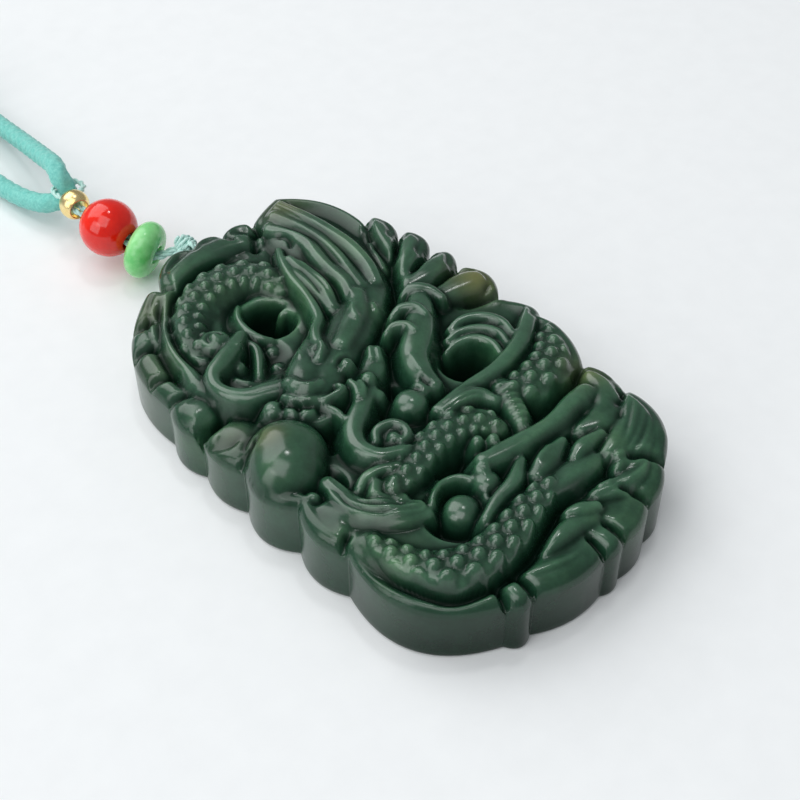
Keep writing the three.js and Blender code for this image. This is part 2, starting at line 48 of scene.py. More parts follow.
# Camera: where it stands and looks, and a lens that gives 1400 pixels of focal length on 800 pixels.
CAMERA_AT = (-66.14, -75.17, 105.22)
CAMERA_LOOKS_AT = (4.4, 2.9, 0.0)
SENSOR_MM = 36.0
FOCAL_PIXELS = 1400.0
PHOTO_PIXELS = 800.0
CLIP_START = 0.01

# Soft lights, in metres and watts: place, width and power. The sky's colour and strength.
LIGHTS = {
    "window": ((-0.08, 0.52, 0.56), 0.7, 3.1),
    "front": ((-0.36, -0.14, 0.7), 0.6, 2.1),
    "fill": ((-0.66, 0.05, 0.35), 0.5, 1.5),
    "lamp": ((0.16, 0.1, 0.7), 0.08, 0.4),
}
SKY = (0.93, 0.97, 1.0, 1.0)
SKY_STRENGTH = 0.3
FLOOR_HALF = 1.2

# Neck cord, as in the solids.
CORD_RADIUS = 1.2
CORD_FOLD = (-4.7, 51.5, 5.5)
CORD_UPPER = [
    (-4.8, 51.6, 5.7), (-4.8, 51.62, 6.2), (-5.2, 52.1, 7.0), (-4.6, 54.1, 7.3), (-4.0, 57.5, 6.4),
    (-3.0, 64.1, 4.6), (-2.2, 72.7, 2.9), (-1.8, 76.5, 2.3), (-1.6, 79.6, 1.9),
]
CORD_LOWER = [
    (-4.8, 51.6, 5.3), (-4.8, 51.62, 4.8), (-5.4, 52.3, 3.9), (-6.8, 53.7, 3.2), (-7.7, 57.0, 2.4),
    (-8.1, 60.5, 1.9), (-8.2, 62.6, 1.7), (-8.6, 66.2, 1.6), (-9.7, 69.6, 2.4), (-12.0, 72.2, 3.6),
]
CORD_STEP = 0.3

# Coil of the spare cord, with the whole turn in degrees after which the cord leaves it, and its ties.
COIL_MIDDLE = (-16.0, 89.0)
COIL_MEAN_RADIUS = 12.0
COIL_LIFT = 0.8
COIL_ROWS = 3
COIL_LAYERS = 2
COIL_END = 2050.0
COIL_STEP = 10.0
TIE_BEARINGS = (60.0, 190.0)
TIE_WIDTH = 3.0
TIE_THREAD = 0.36
TIE_CORNER = 0.9
TIE_TURNS = 4
GAP = 0.3

# Braid of the cord: length of one turn, and shares of its radius in the core and the strands.
BRAID_PITCH = 7.0
BRAID_SIDES = 24
BRAID_CORE = 0.76
BRAID_SWELL = 0.26
BRAID_STRAND = 0.82
BRAID_OVER = 0.18

# Thread of two twisted plies, its knot, and the angles at which it goes round the cord's fold.
THREAD_RADIUS = 0.35
THREAD_SPACING = 0.86
THREAD_STEP = 0.16
THREAD_LEAN = 0.8
TWIST_LENGTH = 2.2
PLY_OFFSET = 0.48
PLY_RADIUS = 0.52
PLY_SIDES = 8
THREAD_KNOT = (0.1, 34.9, 4.3)
KNOT_RADIUS = 0.9
KNOT_LENGTH = 1.8
KNOT_TURNS = 4
KNOT_TAPER = 0.25
THREAD_HUG = CORD_RADIUS + THREAD_RADIUS + 0.7 * GAP
FOLD_WRAP = (110, 75, 40, 0, -40, -75, -110)

# Tunnel through the plaque's top edge, and the beads with the softening of their bore mouths.
TUNNEL_RADIUS = 0.85
TUNNEL_HALF_WIDTH = 1.7
TUNNEL_DEPTH = 2.6
TUNNEL_MOUTH = (-1.4, 31.4, 4.6)
TUNNEL_STEP = 0.25
TUNNEL_SIDES = 20
BEAD_BORE_RADIUS = 1.08
BEAD_SIDES = 64
ROUND_SOFT = 0.16
ABACUS_SOFT = 0.2
GREEN = {"radius": 3.4, "thickness": 3.2, "at": (-3.5, 37.8, 3.8), "way": (-0.45, 0.85, 0.26)}
RED = {"radius": 3.35, "at": (-5.1, 42.5, 5.1)}
GOLD = {"radius": 1.75, "at": (-6.1, 47.9, 5.9), "way": (0.1, 1.0, 0.0)}

# The plaque's rim by bearing about its middle: height of the wall and radius of the rolled edge above it.
RIM = [
    (-180, 6, 1.6), (-157, 6.2, 1.6), (-140, 6, 1.6), (-125, 5.6, 1.6), (-75, 5.5, 1.6), (-66, 6.6, 1.5),
    (-60, 7.2, 1.4), (-50, 7, 1.3), (-44, 6.5, 1.2), (-38, 7, 1.2), (-20, 7.2, 1.2), (-10, 6.7, 1.1),
    (0, 6.4, 1.1), (6, 6.9, 1.2), (55, 6.9, 1.2), (64, 7, 1.1), (105, 6.7, 1.1), (112, 6.7, 1.2),
    (122, 5.8, 1.5), (140, 5.4, 1.8), (180, 5.7, 1.7),
]
RIM_SLOPE = 1.6
ROLL_SHARES = (0.35, 0.65, 0.85, 0.96)
WALL_SHARES = (1.0, 0.86, 0.72, 0.58, 0.44, 0.3, 0.16)
FOOT_ROUND = 0.45
FOOT_DEGREES = (0, 22, 45, 68, 90)

# Ground between the carved forms, lifted towards a high rim.
GROUND = 7.2
GROUND_SLOPE = 0.35
LIFT_REACH = 1.6

# How the forms are rounded, how far they reach, and how they blend into each other.
BLEND = 0.5
FLANK_SLOPE = 2.2
FLANK_STEEPER = 0.7
ROUNDNESS = 0.8
STRAND_REACH = 3.6
DOME_REACH = 2.0
TAPER = 6
TAPER_END = 0.2
POLISH = 0.11

# Grid of the carved face, and how its edge meets the outline.
GRID_STEP = 0.175
GRID_HALF = (20.2, 31.6)
TOP_INSET = 0.3
OUTLINE_STEP = 0.2
EVENING_ROUNDS = 12

# Painted shade and highlight in the jade's colour: hollows darker, crests lighter with some polish wear.
# Marks that paint shade into hollows and creases: spread and strength of each, then the limits of their use.
PAINTED_HOLLOW_SHADE = ((1.2, 0.4), (0.4, 1.9))
PLAIN_MARK = 0.4
MARK_SLOPE = 0.35
RIM_MARK = 1.8
DEEP_PAINTED_SHADE = 0.2
DEEP_LEVEL = 6.6
DEEP_INSET = 1.5

# The walls at the plaque's bottom face away from the light and are painted darker.
# Painted shade on the wall: places along the plaque with their shades, more at the foot, blended in at its
# top.
PAINTED_WALL_SHADE = ((-24.0, -8.0), (0.52, 0.3))
PAINTED_FOOT_SHADE = 0.15
WALL_BLEND = 0.6
WALL_INSET = 0.5

# Outline of the plaque, counterclockwise from the cord notch: corner and bulge of the arc to the next.
OUTLINE = [
    (-1.9, 30.4, 0.3), (-4.2, 31.2, 0.8), (-8.4, 26.9, 0.4), (-10.2, 27.4, 2.6), (-17.3, 13.2, 0.9),
    (-17.5, 7.5, 0.9), (-17.3, 1, 1.4), (-16.7, -6.3, 1.1), (-16.6, -13.4, 3.4), (-10, -26.9, 0.8),
    (-7.3, -27.6, 0.8), (0.6, -28.9, 0.5), (3.3, -28.7, 0.6), (8.3, -27.4, 0.6), (12.4, -25.6, 1.9),
    (17.1, -16.3, 0.8), (16.5, -11.4, 0.9), (18.7, -3.3, 0.3), (19.4, -1.2, 0.2), (17.8, 2, 1.7),
    (17.8, 8.4, 1.7), (16.7, 12.1, 0.9), (18.4, 15.8, 0.6), (16.4, 16.5, 0.6), (17.3, 20.2, 0.6),
    (15.4, 21.1, 1.6), (10.6, 31.3, 0.2), (5.9, 29.4, 0.8), (2, 30.1, 0.9),
]

# The carved lines are laid out as the camera sees them on the level of most crests. A point of another
# height lies off that level along the line of sight, by this much for each millimetre of height.
CREST_LEVEL = 9.0
SIGHT = (0.670, 0.742)

# Main forms of the carving: points with crest height and half width.
STRANDS = {
    "cloud_long": [(-16.7, 18.2, 6.9, 1), (-17.3, 16.4, 7.2, 1.4), (-17.6, 14.9, 6.9, 1)],
    "cloud_low": [(-17.6, 14.2, 6.8, 1), (-17.8, 12.8, 7.1, 1.3), (-17.8, 11.4, 6.8, 0.9)],
    "cloud_inner": [(-14.2, 15.2, 7.4, 0.9), (-15.1, 12.9, 7.5, 1), (-15.9, 10.6, 7.2, 0.7)],
    "coil_rim": [(-14.6, 8.6, 7.8, 0.9), (-14.8, 12, 8, 1.1), (-14.4, 15, 8.1, 1.1), (-13.7, 18, 8.2, 1.1),
        (-12.6, 20.9, 8.3, 1.2), (-10.7, 23.6, 8.3, 1.3), (-8.2, 25.7, 8.3, 1.5), (-5.2, 27.2, 8.3, 1.7),
        (-1.8, 27.9, 8.2, 1.8), (1.6, 27.4, 8.1, 1.6), (3.6, 26, 7.9, 1.1)],
    "coil_body": [(-11.5, 15.6, 8, 1.8), (-11.2, 18.2, 8.3, 2.4), (-9.7, 20.8, 8.5, 3),
        (-7, 22.5, 8.6, 3.2), (-4, 23.2, 8.7, 3.2), (-1.4, 22.7, 8.7, 3), (0.5, 21, 8.7, 2.4),
        (1.3, 18.6, 8.5, 1.8)],
    "whisker": [(-7.2, 14.6, 8.5, 0.7), (-8.8, 13.7, 8.8, 1), (-10.8, 12.8, 8.9, 1.1),
        (-12.6, 11.9, 8.9, 0.9), (-13.4, 10.4, 8.9, 0.7), (-13.2, 8.8, 8.9, 0.8), (-12, 7.2, 8.9, 1.1),
        (-10, 6.4, 9, 1.2), (-8.2, 5.6, 9.1, 1.2)],
    "hole_lip": [(-4.8, 18.5, 7.7, 0.3), (-6, 16.6, 7.9, 0.4), (-6.3, 14.6, 8, 0.45), (-6, 12.9, 7.9, 0.4),
        (-5.4, 11.8, 7.6, 0.3)],
    "hole_curl": [(-2.2, 14.4, 6.6, 0.35), (-1.4, 14.5, 6.9, 0.45), (-0.8, 13.2, 7.2, 0.5),
        (-1.2, 11.8, 7.4, 0.45), (-1.9, 10.5, 7.4, 0.35)],
    "field_ridge": [(-7.5, 13.4, 7.7, 0.4), (-7.3, 12, 7.9, 0.5), (-8, 10.6, 7.9, 0.5),
        (-9.5, 8.6, 7.8, 0.4)],
    "head": [(-5.5, 4.6, 9.2, 1.8), (-2.5, 5.8, 9.5, 2.6), (0.8, 7.4, 9.5, 3), (4, 9.4, 9.4, 2.8)],
    "brow": [(-3.7, 6.1, 9.9, 0.5), (-2.4, 7, 10, 0.6), (-1.8, 8.7, 9.9, 0.6), (-1, 9.8, 9.8, 0.6),
        (0.3, 10.9, 9.6, 0.6), (1.2, 12.8, 9.5, 0.6), (1.9, 15.2, 9.3, 0.5), (2.5, 18.2, 9.2, 0.5),
        (3.3, 20.6, 9, 0.5), (4.3, 22.6, 8.7, 0.4)],
    "forehead": [(-0.2, 6.6, 10, 1), (2.2, 8, 9.9, 1.2), (4.4, 9.6, 9.8, 1.2), (6, 11.4, 9.7, 0.9)],
    "nose_body": [(-2.3, 8.4, 9.3, 1.5), (-3.9, 7.2, 9.5, 2), (-5.5, 5.9, 9.8, 2.2), (-6.6, 4.7, 9.8, 1.8)],
    "nose_side": [(-1.1, 5.8, 9.4, 1.4), (-3, 4.8, 9.6, 1.9), (-4.7, 3.7, 9.7, 1.9), (-6.2, 2.9, 9.6, 1.6)],
    "nose_tip": [(-7.7, 5.7, 9.8, 0.7), (-7.5, 4.4, 10.1, 0.9), (-6.8, 3.7, 10.1, 0.9),
        (-5.7, 3.4, 9.9, 0.6)],
    "upper_lip": [(-9.5, 4.4, 9.2, 0.34), (-9, 3.5, 9.5, 0.54), (-8.3, 2.7, 9.6, 0.61),
        (-7.3, 1.9, 9.6, 0.54), (-6.5, 1.3, 9.4, 0.34)],
    "lip_curl": [(-7, 1.3, 9.6, 0.3), (-5.9, 1.3, 9.8, 0.35), (-4.9, 1.3, 9.9, 0.4), (-4.4, 1.4, 9.9, 0.35),
        (-4.5, 2, 9.8, 0.3)],
    "lip_edge": [(-7.9, 1, 9, 0.3), (-7.1, 0, 9.2, 0.4), (-7, -1, 9.2, 0.4), (-7.2, -1.9, 9, 0.3)],
    "teeth": [(-10.3, 2.8, 9.2, 0.9), (-9.6, 2.1, 9.3, 1), (-8.9, 1.4, 9.2, 0.9)],
    "cheek_strand": [(-3.3, 1.7, 9.7, 0.35), (-3.4, 0.7, 9.8, 0.4), (-4, -0.3, 9.7, 0.35)],
    "cheek_band": [(-2.7, 1, 9.6, 0.3), (-2.9, 0.2, 9.7, 0.35), (-3.7, -0.7, 9.6, 0.3)],
    "ear_front": [(1.3, 4, 9.4, 0.35), (0.4, 2.8, 9.3, 0.4)],
    "ear_back": [(1.8, 3.4, 9.4, 0.35), (1, 2.2, 9.2, 0.4)],
    "jaw": [(-10.6, 0.2, 8.3, 0.6), (-9.2, -0.2, 8.4, 0.8), (-7.6, -0.6, 8.6, 0.7)],
    "cheek": [(-3.4, 0.6, 8.9, 1.4), (-0.6, 1.6, 9, 1.5), (1.4, 3.4, 9, 1.1)],
    "mane": [(5, 9, 9.1, 2.6), (7.2, 13, 9.2, 4.2), (8.4, 18, 9.2, 5.2), (8.6, 23, 9.1, 5),
        (8.4, 27, 8.8, 3.4), (8.9, 29, 8.4, 1.8)],
    "lock_leaf": [(2.6, 11.4, 9.3, 0.8), (3.6, 14.4, 9.5, 1.2), (3.9, 17.4, 9.4, 1.3),
        (4.2, 20.6, 9.1, 0.6)],
    "lock_middle": [(5, 11, 9.4, 0.88), (6.1, 13.4, 9.6, 0.88), (6.4, 16.4, 9.5, 1), (6.9, 19.2, 9.5, 1),
        (7.6, 21.8, 9.4, 1), (7.2, 24.4, 9.1, 1), (6, 26.4, 8.6, 0.88)],
    "lock_long": [(7, 12, 9.4, 0.75), (7.8, 15.2, 9.6, 0.75), (8.5, 18, 9.6, 0.88), (8.8, 21, 9.4, 0.88),
        (8.5, 24.6, 9.2, 0.88), (7.8, 27.6, 8.8, 0.88)],
    "lock_broad": [(8.8, 11.8, 9.3, 0.88), (9.8, 14.2, 9.6, 1), (10.5, 17.8, 9.7, 1.1),
        (10.4, 21.4, 9.6, 1.4), (10, 25.2, 9.3, 1.4), (9.3, 29, 8.6, 1)],
    "fin_top": [(11.6, 12.8, 8.4, 1), (13.4, 15.6, 8.7, 1.4), (14.8, 18.2, 8.7, 1.4),
        (15.4, 19.4, 8.5, 1.1)],
    "fin_upper": [(11.8, 11, 8.4, 1.2), (13.8, 12.4, 8.7, 1.5), (15.8, 13.8, 8.7, 1.5),
        (16.7, 15, 8.5, 1.1)],
    "fin_middle": [(11.4, 9.2, 8.5, 1.5), (13.8, 9.2, 8.8, 1.9), (16.2, 9.2, 8.8, 1.8),
        (17.4, 9.4, 8.6, 1.3)],
    "fin_lower": [(12.4, 5.6, 8.4, 1.4), (15, 5.4, 8.7, 1.9), (16.8, 5, 8.8, 1.9), (17.7, 4.6, 8.6, 1.4)],
    "leg": [(11, 7.2, 9, 1.2), (9.2, 5, 9.5, 1.5), (6.8, 2.8, 9.8, 1.7), (4.4, 0.8, 9.8, 1.6),
        (3.1, -1.6, 9.6, 1.4), (2.6, -3.8, 9.1, 1.2)],
    "knee_small": [(4, 4.5, 9.4, 0.4), (5.3, 4.9, 9.8, 0.5), (6.4, 4.2, 10, 0.5), (6.4, 3, 10, 0.4)],
    "knee_middle": [(6.1, 6, 9.4, 0.4), (7.6, 6.5, 9.7, 0.6), (9, 5.7, 9.9, 0.6), (9, 4, 9.8, 0.4)],
    "knee_large": [(9.4, 8.1, 8.9, 0.5), (10.8, 8.2, 9.3, 0.7), (12, 7, 9.4, 0.7), (12.2, 4.9, 9, 0.5)],
    "arc_outer": [(9.2, 0.6, 8.3, 0.4), (11.3, 1, 8.7, 0.55), (13.3, 0, 8.8, 0.6), (14.2, -2, 8.8, 0.55),
        (13.6, -4.3, 8.7, 0.4)],
    "arc_middle": [(7.9, -0.4, 8, 0.35), (9.8, -0.2, 8.3, 0.45), (11.8, -1.1, 8.5, 0.5),
        (12.8, -2.9, 8.5, 0.5), (12.1, -5.4, 8.4, 0.4)],
    "arc_inner": [(6.6, -1.7, 7.6, 0.3), (8.5, -1.3, 7.9, 0.45), (10.5, -2, 8.1, 0.5),
        (11.2, -3.7, 8.2, 0.5), (10.4, -6.1, 8.1, 0.4)],
    "spine": [(0.4, -6.8, 8.9, 0.5), (4.4, -6.5, 9.2, 0.7), (8.8, -6.5, 9.4, 0.9), (13, -5.5, 9.3, 1),
        (16.4, -3.6, 8.7, 0.9), (17.9, -2.5, 8.2, 0.5)],
    "body_right": [(7.4, -9.6, 8.9, 1.6), (10, -9.8, 9.2, 2.6), (13, -9.4, 9.3, 3), (15.6, -8, 8.9, 2.6),
        (17.2, -6.2, 8.3, 1.8)],
    "belly": [(7.6, -8.4, 9.1, 1.1), (6.5, -11.4, 8.9, 1.2), (5.4, -14, 8.5, 1)],
    "leaf": [(0.6, -7.4, 9, 0.5), (3, -7.2, 9.4, 0.8), (5, -7.9, 9.4, 0.9), (5.6, -9.6, 9.1, 0.6)],
    "body_middle": [(-9.4, -11.2, 8.6, 1.4), (-6.4, -10.6, 8.8, 1.7), (-3, -9.5, 9, 2), (0.2, -9.4, 9, 2.1),
        (2.6, -10.6, 8.9, 1.8), (3.2, -12.2, 8.6, 1.3)],
    "stem": [(-2.6, -0.4, 9, 0.9), (-5, -1.7, 9.3, 1.1), (-7.2, -3.3, 9.3, 1.1), (-8.2, -5.4, 9.3, 1),
        (-7.6, -7.4, 9.2, 0.9), (-5.6, -8.6, 9.1, 0.8)],
    "scroll_top": [(-11.9, -9.6, 8.3, 0.5), (-10.6, -8.9, 8.6, 0.6), (-9, -9, 8.7, 0.6),
        (-7.4, -9.7, 8.7, 0.5)],
    "scroll_side": [(-10.3, -10, 8.5, 0.6), (-11.3, -11.2, 8.6, 0.7), (-10.9, -12.6, 8.5, 0.8),
        (-9.7, -13.2, 8.2, 0.6)],
    "ribbon": [(-13.6, -7, 8, 0.8), (-13.6, -9.4, 8.3, 1.2), (-12.8, -11.7, 8.5, 1.4),
        (-11, -13.5, 8.4, 1.3), (-9.4, -14.8, 8.1, 0.9)],
    "shoulder": [(-15.9, -9.4, 7.6, 1), (-14.6, -11.2, 7.9, 1.4), (-13, -13.2, 8, 1.4),
        (-11.2, -15, 8, 1.1), (-9.4, -16, 7.8, 0.8)],
    "arm": [(-0.6, -14.6, 9.2, 1.2), (3, -15.2, 9.4, 1.4), (7, -15.6, 9.5, 1.4), (11, -15, 9.5, 1.6),
        (13, -14.7, 9.2, 1.3)],
    "knuckle": [(15.2, -13.9, 8.6, 1.2), (14.9, -15.4, 8.9, 1.2), (13.4, -16.8, 9, 1.1),
        (11.4, -17.6, 8.8, 0.9)],
    "haunch": [(14.6, -16.8, 8.6, 0.7), (14.2, -18.5, 8.7, 0.7), (13.2, -20, 8.5, 0.5)],
    "thigh": [(9.2, -17.8, 8.8, 1.3), (11.2, -18.3, 9, 1.9), (12.8, -18.3, 8.8, 1.5)],
    "body_bottom": [(-15.2, -14.9, 7.8, 1.1), (-14.8, -17.4, 8.3, 2), (-13.2, -20.5, 8.6, 2.5),
        (-9.8, -22.3, 8.8, 2.4), (-5.8, -22.3, 9, 2.2), (-2, -21.4, 9.2, 1.9), (1.6, -20.8, 9.1, 1.4)],
    "rim_crescent": [(-17.4, -14, 7.2, 0.8), (-18, -17, 7.2, 0.9), (-17.8, -20.4, 7.1, 0.9),
        (-16.5, -23.8, 7, 0.8)],
    "upper_band": [(-5.8, -19.9, 8.8, 0.5), (-3.2, -18.9, 9, 0.7), (-0.4, -18.2, 9.2, 0.8),
        (1.8, -16.9, 9, 0.5)],
    "flank": [(1.6, -19.2, 9, 1), (4, -18.4, 9.2, 1.2), (6.2, -17.6, 9, 0.9)],
    "tail_plain": [(1, -21.4, 8.8, 1.4), (4.2, -21.2, 8.9, 1.8), (6.8, -21.4, 8.6, 1.3)],
    "tail_small": [(5.6, -20.1, 8.9, 0.5), (7.4, -19.5, 9.2, 0.9), (9.8, -19.7, 9, 0.6)],
    "tail_middle": [(7.8, -21.9, 8.6, 0.6), (10, -21.2, 9, 0.9), (12.2, -20.2, 8.8, 0.6)],
    "tail_large": [(9, -22.7, 8.6, 0.9), (12.4, -21.2, 9, 1.5), (15.4, -19.2, 9.1, 1.5),
        (17, -17.9, 8.9, 0.9)],
    "tail_low": [(7.8, -23.8, 8.2, 0.8), (11.2, -23.6, 8.6, 1.4), (14.4, -21.9, 8.7, 1.4),
        (16.6, -19.9, 8.5, 0.8)],
    "tail_end": [(4, -24.8, 7.8, 0.9), (7.4, -25.6, 8.1, 1.3), (10.6, -25.4, 8.2, 1.3), (13, -24.2, 8, 0.8)],
    "leaf_low": [(-4.6, -26.2, 7.6, 0.6), (-2.4, -25.7, 8.1, 1), (0, -25.8, 8, 1), (1.6, -26.6, 7.6, 0.7)],
    "leaf_lowest": [(0.2, -24.4, 8.2, 0.6), (1.6, -24.9, 8.3, 0.8), (2.8, -25.7, 8, 0.6)],
    "rim_leaf": [(-7.8, -27.3, 7.1, 0.6), (-5.7, -28.1, 7.4, 0.9), (-3.1, -29.1, 7.3, 0.8)],
    "rim_stripe": [(-15.7, -26.2, 6.9, 0.4), (-14, -26.8, 7.1, 0.6), (-11.3, -27.3, 7, 0.5)],
    "stem_ring": [(-6.7, -6, 9.2, 0.4), (-5.9, -5.1, 9.3, 0.5), (-5, -4.9, 9.4, 0.5),
        (-3.9, -5.3, 9.4, 0.5), (-3.5, -6.3, 9.3, 0.5), (-3.9, -7.4, 9.2, 0.5), (-5, -7.7, 9.1, 0.4)],
    "pearl_ring": [(-8.3, -15.6, 7.9, 0.35), (-7.9, -15.2, 8, 0.35), (-6.1, -14.3, 8.1, 0.4),
        (-4.1, -14.8, 8.2, 0.4), (-3.3, -16.7, 8.2, 0.4), (-4.2, -18.6, 8.1, 0.35)],
}

# Domes: place, crest height, radius.
DOMES = {
    "scroll_disc": (-9.4, 15.9, 8.9, 1.7),
    "field_dome": (-10.3, 11, 7.8, 0.8),
    "field_bead": (-6.4, 10.6, 7.1, 0.7),
    "field_drop": (-7.5, 8.3, 7.1, 0.7),
    "chin": (-11.2, 4, 9, 1.1),
    "eye": (-1.8, 3.9, 10.2, 0.75),
    "cheek_ball": (-1.5, 1, 9.7, 0.8),
    "throat": (-2.5, -1.5, 8.8, 0.8),
    "foot": (-0.4, -4, 9.3, 1.8),
    "toe": (1.3, -3.6, 9.1, 1.2),
    "spiral_disc": (-5, -6.4, 8.9, 2),
    "spiral_eye": (-5.1, -6.8, 9.3, 0.6),
    "scroll_ball": (-9.4, -11.4, 8.8, 0.7),
    "small_pearl": (-6.3, -17.5, 8.1, 1.9),
    "hand": (-2.3, -16.6, 8.8, 1.4),
    "finger": (-1.6, -15.2, 9.2, 0.8),
    "knuckle_low": (0.5, -12.4, 9, 0.6),
    "knuckle_high": (1.8, -13.2, 9.2, 0.6),
    "rim_ball": (-15.9, -7.6, 7.7, 0.9),
    "cloud_1": (-12.3, 23.9, 7.4, 1.5),
    "cloud_2": (-14.8, 20.7, 7.2, 1.5),
    "tail_ball": (9.6, -25.4, 7.6, 0.7),
}

# Half balls that run out to the wall, at their true places: place, far end, base, radius, height.
BALLS = {
    "pearl": (-13.3, -0.6, -14.3, -1.6, 5.8, 4.2, 4.3),
    "lobe_upper": (-15.8, 10.2, -16.6, 10.3, 5.2, 2.3, 2.3),
    "lobe_lower": (-15.2, 4.5, -16, 4.4, 5.2, 3.2, 2.2),
    "shoulder": (-14.9, -9.7, -15.5, -10, 5.8, 3.1, 1.9),
    "ball_bottom": (-8.6, -26.2, -8.8, -28.4, 5.2, 1.4, 1.8),
    "ball_right": (1.9, -27.6, 2, -29.6, 5.2, 1.4, 1.8),
}

# Hollows sunk below the ground, at their true places: place, radius, depth.
HOLLOWS = {
    "coil_hole": (-2.6, 15.7, 3.1, 6),
    "field": (-7.2, 11.6, 3.4, 1),
    "recess": (8.6, -2.8, 3.2, 5),
    "neck_gap": (2.8, 2.6, 1.7, 2.6),
    "throat_gap": (-1.6, -1, 2.2, 2.2),
    "foot_gap": (-2.2, -2.6, 1.6, 2),
    "chin_gap": (-12.8, 7.2, 2.6, 2.2),
    "lobe_bed": (-15.6, 7.4, 4, 2.2),
    "pearl_gap": (-9.4, -1.4, 2.4, 1.6),
    "mouth": (-7.5, -0.1, 1.4, 1.6),
    "pearl_foot": (-13.2, -6, 2.4, 1.6),
    "socket": (-6.2, -16.8, 3.6, 3.2),
    "hand_gap": (-2.6, -12.6, 2.2, 2.6),
    "elbow_gap": (8.6, -13.4, 2.2, 1.8),
}

